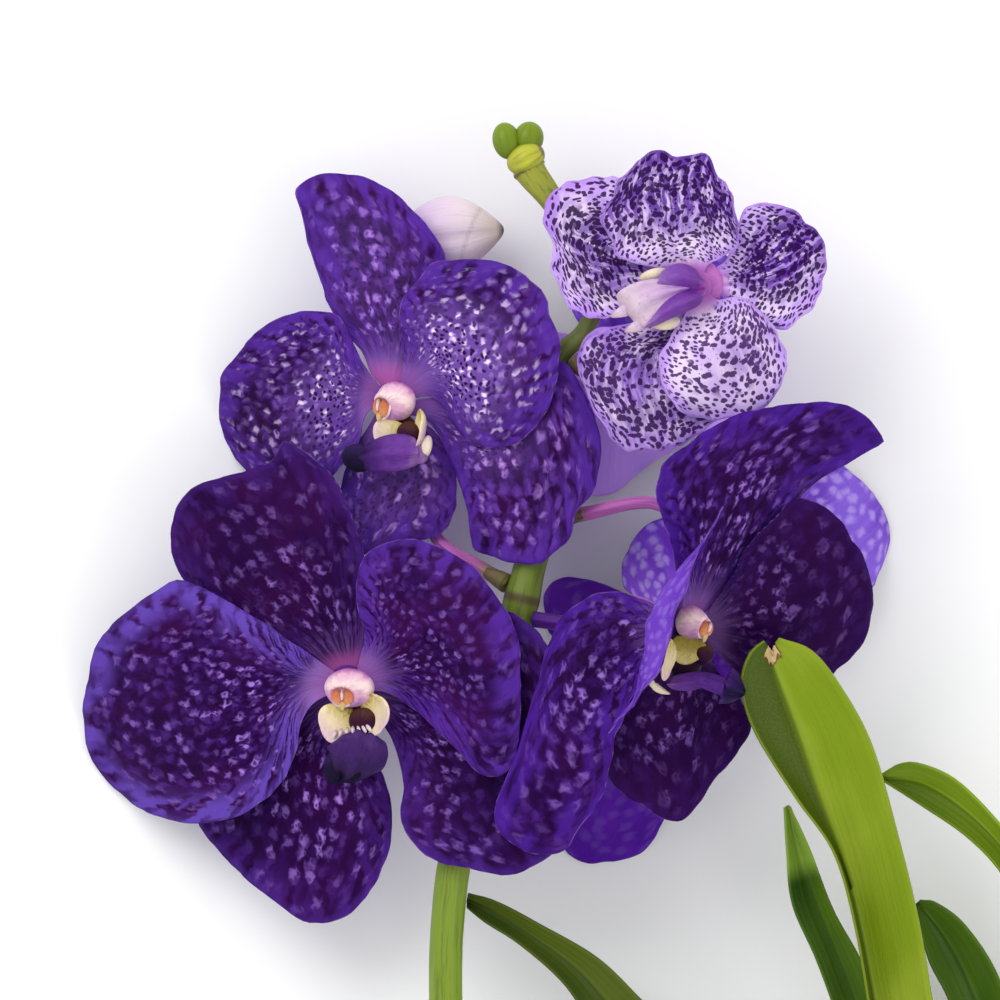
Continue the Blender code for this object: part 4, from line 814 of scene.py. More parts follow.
def tepal(name, node, hub, facing, skins, rim_sides, bulge, slot, ruffle=0.8, scallop=0.25):
    """A thick, ruffled sheet inside a rim that is given by one side, the tip and the other side."""
    side_a, tip, side_b = rim_sides
    side_a = [on_seat(facing, side_a[0]), *side_a[1:]]
    side_b = [on_seat(facing, side_b[0]), *side_b[1:]]
    rim = curve_through([*side_a, *tip, *reversed(side_b)])
    turn_a = STEPS * (len(side_a) - 1)
    turn_b = STEPS * (len(side_a) + len(tip))
    across, along = CELLS
    line_a = by_length(rim[: turn_a + 1], along)
    line_tip = by_length(rim[turn_a : turn_b + 1], across)
    line_b = by_length(rim[turn_b:][::-1], along)
    corners = (line_a[0], line_b[0], line_a[-1], line_b[-1])
    bulge = Vector(bulge)
    out = facing.normalized()
    widest = max((b - a).length for a, b in zip(line_a, line_b))
    length = (length_of(line_a) + length_of(line_b)) / 2
    length += (line_tip[across // 2] - (line_tip[0] + line_tip[-1]) / 2).length
    from_rim = kdtree.KDTree(len(rim))
    for i, place in enumerate(rim):
        from_rim.insert(place, i)
    from_rim.balance()
    seed = len(name) * 3.7 + hub.x
    heart = (line_a[along // 2] + line_b[along // 2]) / 2

    def raw(u, v):
        i, j = round(u * across), round(v * along)
        return blade_point((corners, line_tip[i], line_a[j], line_b[j]), i / across, j / along, bulge)

    def edge(u, v):
        return min(from_rim.find(raw(u, v))[2] / RIM_REACH, 1.0)

    def narrow(u, v):
        j = round(v * along)
        return (line_b[j] - line_a[j]).length / widest

    def shape(u, v):
        point = raw(u, v)
        rim_share = (1 - edge(u, v)) ** 1.5
        wave = noise.noise(point * 0.13 + Vector((seed, 0, 0))) * 2.6 * ruffle * rim_share
        curl = noise.noise(point * 0.045 + Vector((0, seed, 0))) * 1.6 * ruffle
        spread = math.sin(math.pi * u) * math.sin(math.pi * min(v * 1.1, 1.0))
        fold = 0.28 * math.sin(2 * math.pi * FOLDS * u + seed) * spread
        rib = -0.7 * math.exp(-(((u - 0.5) / 0.035) ** 2)) * spread
        free = smooth_step(0.06, 0.4, v)
        outward = (point - heart).normalized() * scallop * rim_share
        outward *= noise.noise(point * 0.3 + Vector((0, 0, seed))) * 1.6
        moved = hub + point + out * (wave + curl + fold + rib) * free + outward * free
        moved.z = max(moved.z, LOWEST)
        return moved

    mesh = grid_mesh(name, CELLS, shape, lambda u, v: ((u - 0.5) * widest, v * length),
                     {"edge": edge, "narrow": narrow})
    face_towards(mesh, out)
    piece = add_piece(name + "_sheet", mesh, skins, node)
    thicken(piece, THICKNESS)


def bloom_sheets(bloom, hub, facing, back, sheets, slot="petal_purple", **waves):
    """The five tepals of a bloom, whose petals stand higher on its seat than its sepals."""
    for part, front, bulge, side_a, tip, side_b, *own_slot in sheets:
        level = PETAL_LEVEL if part.startswith("petal") else SEPAL_LEVEL
        side_a, side_b = ([(*side[0], level), *side[1:]] for side in (side_a, side_b))
        name = f"{bloom}_{part}"
        tepal(name, name, hub, facing, (front, back), (side_a, tip, side_b), bulge, (*own_slot, slot)[0],
              **waves)
    print(bloom, "has its sheets:", len(sheets))


print("tepal builder ready")

# %% [markdown]
# ## The large bloom in front
# It lies at the lower left, tilted a little to the left, and it is the widest. Its left petal reaches
# down to the surface. Each sheet is a row: its front skin, its bulge, and its rim as one side from
# the root, the tip, and the other side. The height of the two root points comes from the seat.

# %% Sheets of bloom A
SHEETS_A = [
    ("petal_left", skin_a, (0, 0, 4),
     [(-2.5, 3.5), (-6, 6, 0), (-13, 11, 1.5), (-24, 18, -1), (-39, 25.5, -9)],
     [(-46, 23, -12), (-53, 18, -17), (-60, 11, -23), (-62.5, 2, -28), (-64, -6, -32), (-62, -17, -35.4),
      (-54.5, -26.5, -33)],
     [(-2.5, -1), (-8, -4, 0.5), (-11, -9, 1.5), (-12, -15, 2), (-15, -22, 1), (-21, -28, -2),
      (-27.5, -31.5, -7), (-37, -33, -15), (-46.5, -31, -25)]),
    ("petal_right", skin_a_right, (0, 0, 2),
     [(2.5, 3.5), (4.3, 12, 1), (3, 20, 1.5), (2.6, 26, 1.3), (4, 31, 1.5), (8, 34, 3)],
     [(14.6, 35.8, 5), (20, 35, 7), (26.6, 31.7, 9.5), (32, 27.6, 11.5), (36, 22, 12.5), (40, 15, 13),
      (42, 7, 13), (42.2, -3.4, 13)],
     [(2.5, -0.6), (6.7, -0.8, 0.5), (10.8, -1.7, 2), (17, -5.8, 5), (22.6, -10.6, 8), (28, -16, 11),
      (32, -20.4, 12), (37.4, -21, 12.4), (41, -16, 12.8)]),
    ("sepal_top", skin_a_top, (0, 0, 1),
     [(-1.9, 3.2), (-8, 5, -2.4), (-18, 9, -4.5), (-30, 15, -9.5), (-39, 25.4, -13)],
     [(-42, 33, -14), (-41.5, 41.3, -14), (-38.6, 46.8, -13), (-33, 49.7, -11), (-23.5, 52.3, -7),
      (-17.5, 55, -5), (-15.5, 59, -4.5), (-12, 57.8, -3)],
     [(1.9, 3.2), (4.5, 10, -1.6), (6, 20, -1.4), (5, 28, -1.2), (3, 36, -0.8), (0.6, 43.7, -0.2),
      (-3, 50, 0), (-8, 55, -1)]),
    ("sepal_left", skin_a_sepal, (0, 0, 2),
     [(-3.4, -1.4), (-12, -5.5, -4), (-20, -11, -8), (-28, -19, -16), (-35, -28, -24)],
     [(-36, -33.6, -26), (-31, -39.5, -22), (-24, -46.5, -17), (-18, -51, -14.5), (-12.5, -55.5, -11.5),
      (-9, -57, -10.5), (-3.6, -56.6, -8), (2, -53.5, -6)],
     [(-0.6, -3.2), (4, -9, -2.6), (7.4, -18.5, -3), (9.8, -24, -3.5), (11, -31, -4), (10.3, -38.4, -4),
      (7.4, -46.3, -4.5)]),
    ("sepal_right", skin_a_sepal, (0, 0, 0),
     [(1.4, -2.9), (6.7, -6, -1), (9.8, -10.6, 0), (12.2, -15.4, 1), (13.9, -23.3, 2), (13.2, -29.5, 2.5),
      (14.6, -34.5, 3), (18, -39, 4)],
     [(21.5, -41.5, 5), (30, -43.4, 6), (40, -45, 6.5), (45.6, -42.4, 8), (50.4, -39.4, 9), (55, -32, 10),
      (56, -17, 11)],
     [(3.6, 0.4), (15, 6, 1), (28, 14, 5), (38, 18, 8.5), (42, 16.4, 9.5), (47.5, 11.5, 10), (54, -1, 11)]),
]
bloom_sheets("bloom_a", HUB_A, FACING_A, skin_back, SHEETS_A)

# %% [markdown]
# ## The bloom at the upper left
# It is the same kind of bloom, a little smaller. Its right petal has the brightest net of marks.

# %% Sheets of bloom B
SHEETS_B = [
    ("sepal_top", skin_b_top, (0, 0, 2),
     [(-1.9, 3.2), (-5, 7, -1.6), (-7.4, 12, -1.6), (-12, 17, -1.6), (-15, 22, -2.4), (-18, 31, -4),
      (-20.6, 39.4, -6), (-22, 46.6, -8)],
     [(-23, 51.5, -10), (-18.5, 54.5, -9), (-12.7, 55.2, -7), (-6, 54, -5), (0.2, 50.6, -3),
      (5, 46.6, -1.5)],
     [(1.9, 3.2), (8, 14, -0.8), (12, 26, 0), (12.7, 34.3, 0.4), (11.8, 37, 0.4), (9, 42, -0.2)]),
    ("petal_left", skin_b, (0, 0, 4),
     [(-2.5, 3.4), (-7.2, 9.8, 0.5), (-11, 18.2, 0.5), (-13.2, 21, 0), (-19, 22, -1.5), (-23.5, 21.8, -3.5),
      (-29, 19.4, -7)],
     [(-34, 15.6, -12), (-37.2, 11.8, -17), (-41, 7.2, -22), (-41.5, 3, -25), (-42.2, -2.4, -28),
      (-41.5, -7, -29.4), (-39, -12, -28)],
     [(-2.5, -1), (-5.3, -1.7, 0), (-7, -4.8, -0.3), (-7.6, -9.4, -1), (-10, -13.2, -2), (-14, -17.5, -5),
      (-22, -23, -12), (-30, -21, -20), (-35.5, -16, -25)]),
    ("petal_right", skin_b_bright, (0, 0, 2),
     [(2, 4.2), (3, 13, 1.5), (1.6, 19.4, 2.5), (3, 25, 3), (6.5, 29.5, 3.5), (9.8, 33.4, 4.5)],
     [(14.4, 34.3, 6), (22, 34.3, 8), (28, 32.6, 10), (33.6, 29, 12), (37, 25, 13), (37.6, 20.9, 13.5),
      (40, 15.6, 14), (40, 8, 14), (38.2, 0.2, 13)],
     [(2.5, 0.6), (5.3, 1, 0.3), (9, 1.4, 1.5), (12, -0.6, 3), (14, -4.5, 4.2), (18.4, -9.4, 6),
      (23.3, -11, 8), (30, -9.8, 10), (33.8, -6.2, 11.5)]),
    ("sepal_left", skin_b_sepal, (0, 0, 1),
     [(-3.2, -1.6), (-8, -10, -5), (-11.5, -18, -9.5), (-13.5, -29, -11)],
     [(-11, -37, -9), (-6, -36.4, -6.5), (-1, -34, -4.5), (3.5, -33, -3.5), (8, -33, -3)],
     [(-0.2, -3.4), (8, -5.5, -2), (12.5, -9.5, -2.4), (15.5, -16.4, -2), (15.6, -22.3, -1.5),
      (15.2, -26.2, -1.5), (12.5, -31, -2)]),
    ("sepal_right", skin_b_sepal, (0, 0, 1),
     [(1.8, -3), (7.2, -3.6, -0.8), (10.6, -7, -0.2), (13.7, -12.7, 1), (16.3, -20.4, 2.5),
      (18.2, -26.2, 4), (19.2, -32, 5), (20, -35.5, 5.5)],
     [(24, -37, 7.5), (28, -38.6, 9.5), (35, -38.9, 11), (39.4, -36, 12), (43, -32, 12.5),
      (44.3, -27, 12.5)],
     [(3.8, 0.4), (15, 2, 1), (30, 6, 6), (40, 10, 9.5), (44, 6.7, 10.5), (47.8, -1, 11), (50.2, -10, 11.5),
      (49.7, -16, 12), (47.8, -21.6, 12.5)]),
]
bloom_sheets("bloom_b", HUB_B, FACING_B, skin_back, SHEETS_B)

# %% [markdown]
# ## The bloom on the right
# It is turned to the right, so its left petal stands up and shows its plain back.

# %% Sheets of bloom C
SHEETS_C = [
    ("sepal_top", skin_c, (0, 0, 3),
     [(-1.6, 3), (-3, 10, 1), (-4.2, 17, 4), (-6, 23, 6), (-8.2, 29, 7.5), (-8.9, 34.3, 8.5),
      (-7.2, 39.6, 8)],
     [(-2, 44.2, 7), (6.5, 49.7, 5), (15.6, 52.6, 2), (27, 54.2, -3), (35, 54, -7), (40, 52, -10.5),
      (43.6, 48.7, -13), (45, 44.6, -16)],
     [(1.6, 3), (8, 9, -7.6), (14, 18, -10.1), (19, 26, -11.3), (22.6, 31, -11.4), (27, 35.8, -12),
      (33, 39.6, -13.2), (38.6, 43, -15)]),
    ("petal_left", skin_c, (-7, 0, 2),
     [(-2.6, 2.6), (-2, 10, 4), (2, 19, 7), (5.5, 26, 10)],
     [(7.4, 29.6, 13), (5.8, 26.4, 16), (4, 23.5, 18), (0.2, 16.6, 21), (-1.9, 9.8, 23), (-4.3, 4.3, 24),
      (-5.8, -3.1, 24), (-8.9, -10.8, 22), (-12.7, -15.4, 18), (-17.3, -21.6, 12)],
     [(-2.6, -1.4), (-7, -8, 3.4), (-13, -16, 5), (-18.5, -22.5, 7),
      (-20.4, -24.4, 9)], "petal_back_violet"),
    ("petal_right", skin_c_shaded, (0, 0, 3),
     [(2.4, 2.4), (8.5, 12, -2.3), (14, 21, -2.6), (20, 27.4, -4.8)],
     [(24.7, 31, -8), (29.3, 30.5, -10.4), (35.5, 26, -14), (40, 19.7, -17), (42.5, 13.7, -19.5),
      (43.2, 7.4, -21), (42, 0.5, -22)],
     [(2.4, -1.6), (10.8, -10.5, -9), (19, -16.5, -13), (28.8, -15, -16.5), (34, -10, -19),
      (38.6, -5.5, -21)]),
    ("sepal_left", skin_c, (0, 0, 2),
     [(-3.4, 0.8), (-9, 6, 1.4), (-15.8, 8.6, -4), (-19.7, 9.1, -5), (-23.5, 8.2, -6), (-28.8, 5.3, -8),
      (-33.4, -1, -9.6), (-36.5, -9.4, -10.4), (-38.6, -18.5, -11), (-40.5, -26.2, -11.4)],
     [(-44.9, -36, -12.4), (-47, -43.9, -13), (-45.8, -48.7, -13.5), (-40, -52.8, -13.5), (-36, -53.8, -13),
      (-31, -52.6, -12.5)],
     [(-2.4, -2.4), (-9, -8.5, 0.2), (-14.5, -16.5, -5), (-19, -24.7, -7), (-19.7, -32.4, -8),
      (-21, -38.5, -9), (-25, -45.4, -11)]),
    ("sepal_right", skin_c_shaded, (0, 0, 1),
     [(-1.2, -3.2), (-11, -10.5, -7), (-17.4, -18, -11.4), (-20.6, -26, -13.4), (-20.4, -34.6, -14)],
     [(-16.6, -39.1, -14.5), (-10.3, -43, -15), (-5.8, -45.6, -16), (-2.6, -46, -16), (0.4, -43, -15.5),
      (3.6, -37.7, -15), (8, -32.4, -15)],
     [(1.8, -3), (6, -9, -9.5), (11, -16, -14), (14.8, -23, -16), (13, -27, -16)]),
]
bloom_sheets("bloom_c", HUB_C, FACING_C, skin_back, SHEETS_C)

# %% [markdown]
# ## The white bloom
# At the upper right a paler bloom faces straight up. It is white and lilac with dark dots.

# %% Sheets of bloom D
SHEETS_D = [
    ("sepal_left", skin_d_left, (0, 0, 0),
     [(-2.6, 2.2), (-12, 5, -2.4), (-17, 13, -3), (-17.3, 22, -3.6)],
     [(-19, 25.6, -4), (-27, 25.4, -5), (-32, 24, -6), (-35.3, 20.6, -7), (-36.6, 15.6, -7),
      (-34.8, 10, -7), (-34.6, 4, -6), (-32.6, -1, -6)],
     [(-3.2, -1), (-10.8, 0, -2), (-15.6, -3, -3), (-18.5, -6.3, -3.5), (-22.3, -8, -4), (-26, -7.6, -5),
      (-30, -5.2, -5.5)]),
    ("petal_top", skin_d_top, (0, 0, 2),
     [(-2.4, 1.6), (-8, 4, 0.6), (-15, 5, 1.5), (-19.7, 7.5, 1), (-20.4, 11, 1), (-22.6, 15, 0.4),
      (-21.6, 18.7, 0.4), (-19.3, 23.5, 0)],
     [(-16, 27.8, -0.5), (-11.8, 31.2, -1), (-8.2, 31.9, -1), (-4.6, 30.7, -0.5), (-0.7, 31.7, -1),
      (2.9, 30.5, -0.5), (5.4, 26.2, 0.5), (7.7, 23, 1)],
     [(1.6, 2.2), (3, 5, 0.2), (6, 6.6, 0.6), (9, 8.9, 1.5), (10.3, 13.9, 1.5), (9.6, 18, 1)]),
    ("sepal_right", skin_d_right, (0, 0, 1),
     [(2.2, 2.4), (8, 7, -2), (10, 14, -2.2), (11.6, 18, -2.2), (15, 19.8, -2)],
     [(20, 19.4, -2), (25.4, 16.3, -2.5), (29.8, 11.5, -3), (31.2, 5, -3.5), (29.8, -2.2, -4)],
     [(3.2, -1), (8, -4, -2.6), (13, -8, -3.4), (19.5, -10.4, -3.5), (23.2, -9.4, -3.5), (27, -6.5, -4)]),
    ("petal_bottom", skin_d_low, (0, 0, 2),
     [(2.6, -1), (5, -3.6, 0.2), (8.6, -3, 1.5), (13.2, -4, 2), (16.3, -7, 1.5), (19.4, -11.8, 1)],
     [(21.4, -16.8, 0), (20.9, -22.8, -1), (18.2, -27.1, -2), (13.2, -31, -2.5), (7.2, -32.4, -2.5),
      (1.7, -31.7, -2), (-2.6, -31, -1)],
     [(-1, -2.8), (-2.6, -6.5, 0.2), (-4.6, -10, 1.5), (-7.4, -14.4, 2), (-9.1, -18.7, 1.5), (-7.9, -24, 1),
      (-6, -28, 0)]),
    ("sepal_bottom", skin_d_rear, (0, 0, 0),
     [(0.8, -3.2), (2, -12, -2.6), (4.4, -22, -3.4), (5, -30, -5)],
     [(3.4, -34, -5), (-1.4, -37, -5), (-6.2, -38.9, -5), (-11.3, -40.2, -5.5), (-15.6, -40.2, -5.5),
      (-18.6, -38.6, -5.5)],
     [(-2, -2.8), (-11, -6.4, -2.6), (-17, -9.4, -3.8), (-22.8, -10, -4.6), (-25.4, -11.6, -4.6),
      (-28.2, -16, -5), (-28.6, -20, -5), (-27, -24, -5), (-24, -30.2, -5), (-21, -35.6, -5.5)]),
]
bloom_sheets("bloom_d", HUB_D, FACING_D, skin_d_back, SHEETS_D, "petal_lilac", ruffle=0.9, scallop=0.7)

# %% [markdown]
# ## The rear blooms
# Two more blooms hang behind and face down, so their backs are seen. They are made with the same
# builder, each tepal a piece of its own, and together with a round neck they stand for one solid.

# %% Sheets of the rear blooms
def hidden_rim(direction, length, half_width, level, drop):
    """Rim of a tepal that runs out at a direction in degrees and bends down by its drop."""
    turn = Matrix.Rotation(math.radians(direction), 3, "Z")

    def line(shares, side=1):
        return [turn @ Vector((a * length, side * b * half_width, level - c * drop)) for a, b, c in shares]

    sides = ((0.08, 0.2, 0.0), (0.38, 0.75, 0.15), (0.66, 1.0, 0.45))
    tip = ((0.9, 0.78, 0.8), (1.0, 0.3, 1.0), (1.0, -0.3, 1.0), (0.9, -0.78, 0.8))
    return line(sides), line(tip), line(sides, -1)


RIMS_E = [
    ([(-2, -1, -2), (-9, -8, -4), (-14, -15, -9), (-16, -23, -15)],
     [(-12, -28.3, -20), (-7.7, -28.8, -21.5), (-4, -27, -21.5), (0, -23.6, -20),
      (4.6, -20.2, -17), (12.5, -15.4, -14)],
     [(2, -2, -2), (10, -5, -5), (15, -8, -8.5), (17.5, -11, -11)]),
    hidden_rim(185, 34, 13, -2.3, 20.7),
    hidden_rim(112, 32, 9, -1.5, 20.5),
    hidden_rim(50, 36, 11, -1.8, 21.6),
    hidden_rim(-14, 31, 11, -2.6, 19.4),
]
RIMS_F = [
    ([(2, 2.4, -2), (12, 16, -4), (22, 31, -9), (32.4, 42, -15)],
     [(39, 39.4, -18), (43.7, 34, -20.5), (46.8, 28, -22.4), (46.8, 21.8, -22.6)],
     [(3, -0.6, -2), (16, 4, -4), (30, 8, -9), (41.8, 11.5, -17), (44.4, 17.3, -21)]),
    ([(-3, 1, -2), (-10, 7, -4), (-17, 12, -8)],
     [(-17.8, 16.6, -11), (-16.6, 21.1, -13), (-13.7, 25.7, -15), (-9.4, 28.8, -17),
      (-4, 30, -17)],
     [(1, 2.5, -2), (3, 10, -4), (4, 20, -8), (1, 28, -14)]),
    ([(-3, 1.6, -2), (-10, 6, -6), (-18.2, 11.5, -10), (-24.2, 13.9, -13)],
     [(-29.8, 14.9, -16), (-34.3, 13.9, -19), (-36.6, 10.3, -21), (-36.2, 5.8, -22.4),
      (-35, 1.2, -22.6), (-30, -3, -21)],
     [(-3, -1.5, -2), (-10, -2.4, -4.5), (-20, -2.4, -9)]),
    ([(-3, -1.5, -2), (-12, -14, -5), (-22, -30, -11), (-30, -44, -18)],
     [(-32, -50.4, -21), (-27.4, -54.2, -22.6), (-22, -54.2, -22.6), (-15, -52.8, -22.4),
      (-10.6, -49.4, -21)],
     [(1, -3, -2), (-1, -14, -4), (-3, -30, -10), (-7.9, -43.9, -18)]),
    ([(-1, -3, -2), (1, -10, -6), (5, -18, -14)],
     [(9, -21.5, -19), (15, -20.5, -22.4), (18.4, -15, -21)],
     [(3, -1, -2), (10, -4, -5), (16, -9, -12)]),
]
SKINS_E = [skin_rear, skin_rear, skin_back, skin_back, skin_rear]
SKINS_F = [skin_rear_spots, skin_rear_marks, skin_rear_dark, skin_rear_vivid, skin_rear_dark]
for bloom, hub, rims, backs in (("bloom_e", HUB_E, RIMS_E, SKINS_E), ("bloom_f", HUB_F, RIMS_F, SKINS_F)):
    for i, (rim, back) in enumerate(zip(rims, backs)):
        tepal(f"{bloom}_tepal_{i + 1}", bloom + "_tepals", hub, FACING_DOWN, (skin_b, back), rim,
              (0, 0, 2), "petal_back_violet", ruffle=0.5)
print("rear blooms have their sheets")

# %% [markdown]
# ## Stems as rolled sheets
# A stem is a sheet rolled up round a smooth route. Its radius changes along the way, it swells at
# its nodes, and shallow ribs run along it. A frame is carried along the route without twisting, so
# that the ribs stay straight.

# %% Stem builder
def route_curve(route):
    return curve_through([point[:3] for point in route])


def sampled(route, count):
    """Places and radii at equal steps along a route of (x, y, height, radius) points."""
    guide = route_curve(route)
    sizes = curve_through([(point[3], 0, 0) for point in route])
    spots = [i * (len(guide) - 1) / count for i in range(count + 1)]
    return [(between(guide, spot), between(sizes, spot).x) for spot in spots]


def carried_frames(places):
    """Two directions across the route at each place, turned as little as possible on the way."""
    frames = []
    side = Vector((0.0, 0.0, 1.0))
    for i, place in enumerate(places):
        run = (places[min(i + 1, len(places) - 1)] - places[max(i - 1, 0)]).normalized()
        side = (side - run * side.dot(run)).normalized()
        frames.append((side.copy(), run.cross(side)))
    return frames


def nowhere(v):
    return 0.0


def stem_mesh(name, route, around, spacing, ribs, rib_depth, swell=nowhere, scar=nowhere):
    """A closed, ribbed tube along a route, and its length; it may swell and be scarred on its way."""
    length = length_of(route_curve(route))
    count = max(12, round(length / spacing))
    spots = sampled(route, count)
    frames = carried_frames([place for place, size in spots])

    def shape(u, v):
        j = round(v * count)
        place, size = spots[j]
        first, second = frames[j]
        angle = turn_at(u, around)
        grow = 1 + rib_depth * math.cos(ribs * angle) + swell(v)
        grow += 0.02 * noise.noise(place * 0.3 + first * math.cos(angle) * 2)
        return place + (first * math.cos(angle) + second * math.sin(angle)) * size * grow

    radius = sum(size for place, size in spots) / len(spots)
    marks = {"run": lambda u, v: v, "scar": lambda u, v: scar(v)}
    return grid_mesh(name, (around, count), shape,
                     lambda u, v: (u * 2 * math.pi * radius, v * length), marks, closed=True), length


print("stem builder ready")

# %% [markdown]
# ## The flower stem
# The stem comes out of the leaves at the bottom, arches under the blooms and ends in the tip with
# its green buds. It thickens at each place where a pedicel leaves it, and a dark scar runs round it
# there. The swellings are placed by how far along the stem each pedicel starts.

# %% Flower stem
STEM_ROUTE = [
    (108.4, -195.4, 11, 3.6), (96, -201, 14, 3.9), (64, -197, 19, 4.0), (30, -181, 25, 4.0),
    (3, -157, 30, 4.0), (-10, -135, 33, 4.0), (-13, -118, 34, 4.0), (-11, -88, 34, 4.0),
    (-3, -56, 34, 4.0), (5.3, -24, 34, 4.0), (10.5, 0, 34, 3.4), (11.5, 19, 34, 3.0),
    (13.4, 33, 34, 2.5), (20.5, 41, 35, 2.1), (24, 52, 36, 2.1), (18.5, 64, 36, 2.5),
    (11.5, 73.5, 35, 3.1), (7.4, 79, 34, 3.8), (6.2, 82, 34, 3.7), (5.6, 84, 34, 2.6),
]
NODE_PLACES = [(30, -181), (-10, -135), (-3, -56), (5.3, -24), (8.2, -12), (12.4, 26), (13.4, 33),
               (22.5, 46), (7, 79.5)]
stem_guide = route_curve(STEM_ROUTE)
NODE_SHARES = []
for x, y in NODE_PLACES:
    away = [(place.xy - Vector((x, y))).length for place in stem_guide]
    NODE_SHARES.append(away.index(min(away)) / (len(stem_guide) - 1))


def near(v, share, width):
    return math.exp(-(((v - share) / width) ** 2))


def near_node(v, width):
    return max(near(v, share, width) for share in NODE_SHARES)


flower_mesh, flower_length = stem_mesh(
    "flower_stem", STEM_ROUTE, 32, 1.5, 7, 0.03,
    swell=lambda v: 0.1 * near_node(v, 0.006),
    scar=lambda v: max(near_node(v, 0.0022), near(v, NODE_SHARES[-1], 0.005)),
)
add_piece("flower_stem_surface", flower_mesh, [flower_stem_skin], "flower_stem")
print("flower stem is", round(flower_length), "mm long")

# %% [markdown]
# ## Pedicels
# Each bloom hangs on a pedicel, which is really its stalk and its ovary in one: ribbed, a little
# twisted, yellow-green where it leaves the stem and lilac towards the bloom. It widens behind the
# seat that it carries, and a small brown bract sheathes the foot of each one but the third.

# %% Pedicels
HUB_LEVEL = -2.2
HUB_RADIUS = 3.4
BRACT_RINGS = ((0, 2.7), (2, 2.5), (4, 2.15), (6, 1.7), (7, 0.9))


def hub_end(middle, facing):
    """The end of a pedicel that widens behind the seat of a bloom in front."""
    ends = ((HUB_LEVEL - 4.5, 1.6), (HUB_LEVEL - 1.2, HUB_RADIUS - 0.6), (HUB_LEVEL, HUB_RADIUS))
    return [(*(middle + facing * level), radius) for level, radius in ends]


def rear_end(middle):
    """The end of a pedicel that meets a rear bloom from above."""
    return [(*(middle + Vector((0, 0, height))), radius) for height, radius in ((4, 1.8), (0.5, 2.6))]


PEDICELS = {
    "a": [(-8.4, -56.6, 33, 2), (-14, -52.5, 29.5, 1.8), (-24, -49, 26.5, 1.6),
          *hub_end(HUB_A, FACING_A)],
    "b": [(1.6, -20.1, 33.2, 2), (-4.5, -16.5, 29.4, 1.8), (-14, -10.5, 23.6, 1.6),
          (-20, 0, 18, 1.5), (-22, 14, 17, 1.5), *hub_end(HUB_B, FACING_B)],
    "c": [(8.5, -28.7, 36.8, 2), (17, -29.2, 42.5, 1.8), (27, -24.4, 49, 1.6),
          (34.5, -25, 54.6, 1.5), *hub_end(HUB_C, FACING_C)],
    "d": [(25.8, 46, 36.6, 2), (31, 46.4, 37.6, 1.8), (39, 48.6, 39, 1.5),
          *hub_end(HUB_D, FACING_D)],
    "e": [(17.4, 33.6, 34.8, 2), (21, 30.8, 35.4, 1.8), (27.5, 29, 35, 1.5),
          (32.6, 29.6, 31.6, 1.5), *rear_end(HUB_E)],
    "f": [(14.2, -4.6, 34.6, 2), (20, -3.4, 36, 1.8), (37, -0.8, 38.5, 1.5),
          (47, -10, 39.5, 1.5), (49, -25, 37, 1.5), (47.6, -33, 31, 1.5), *rear_end(HUB_F)],
    "bud": [(11, 32.6, 31.6, 1.8), (4, 38, 27, 1.6), (-4, 46, 21.5, 1.5), (-9.5, 51.6, 19.1, 1.6),
            (-17, 53.2, 17.6, 1.6), (-22.4, 57, 17, 1.9), (-22.6, 61.8, 17, 2.6)],
}
for letter, route in PEDICELS.items():
    name = "pedicel_" + letter
    dark = letter == "c"
    mesh, length = stem_mesh(name, route, 24, 0.8, 6, 0.075)
    add_piece(name + "_surface", mesh, [pedicel_dark_skin if dark else pedicel_skin], name)
    if not dark:
        guide = by_length(route_curve(route), round(length))
        sleeve = [(*guide[i], size) for i, size in BRACT_RINGS]
        bract, _ = stem_mesh("bract_" + letter, sleeve, 24, 0.5, 2, 0.12)
        add_piece(name + "_bract", bract, [bract_skin], name)
    print("pedicel", letter, "is", round(length, 1), "mm long")

# %% [markdown]
# ## Buds
# The pale bud is an oval of three closed sepals, so three shallow seams run from its stalk to its
# dark pointed tip. The two green buds at the tip are younger and rounder, with the same seams, and
# they sit side by side on a yellow node with a brown scar below it.

# %% Buds
SEAMS = 3
BUD_CELLS = (48, 48)


def bloom_frame(heading, facing):
    """Axes of a bloom: along its lip, across it, and out of its face."""
    out = Vector(facing).normalized()
    along = Vector((math.cos(math.radians(heading)), math.sin(math.radians(heading)), 0))
    along = (along - out * along.dot(out)).normalized()
    return Matrix((along, out.cross(along), out)).transposed()


def sepal_line(u, v):
    """A rusty line where one sepal of the pale bud lies over the next."""
    return 0.42 * near(v, 0.6 + 0.1 * math.cos(2 * math.pi * u), 0.034)


def node_scar(u, v):
    """The brown scar at the right end of the yellow node."""
    return 0.9 * smooth_step(0.7, 0.9, v)


def no_scar(u, v):
    return 0.0


def bud_mesh(name, middle, heading, radii, point=0.0, depth=0.03, scar=no_scar):
    """An egg whose long axis is the heading, with seams along it and a slightly drawn-out tip."""
    axes = bloom_frame(heading, (0, 0, 1))

    def shape(u, v):
        turn = turn_at(u, BUD_CELLS[0])
        ring = math.sin(math.pi * v) if 0 < v < 1 else 0.0
        seam = 1 - depth * ring * (1 - abs(math.sin(SEAMS * turn / 2 + 0.6))) ** 3 * 2
        slim = 1 - point * smooth_step(0.45, 0.95, v)
        local = Vector((-math.cos(math.pi * v) * radii[0], math.cos(turn) * ring * radii[1] * seam * slim,
                        math.sin(turn) * ring * radii[2] * seam * slim))
        return Vector(middle) + axes @ local

    girth = math.pi * (radii[1] + radii[2])
    return grid_mesh(name, BUD_CELLS, shape, lambda u, v: (u * girth, v * math.pi * radii[0]),
                     {"run": lambda u, v: v, "scar": scar}, closed=True)


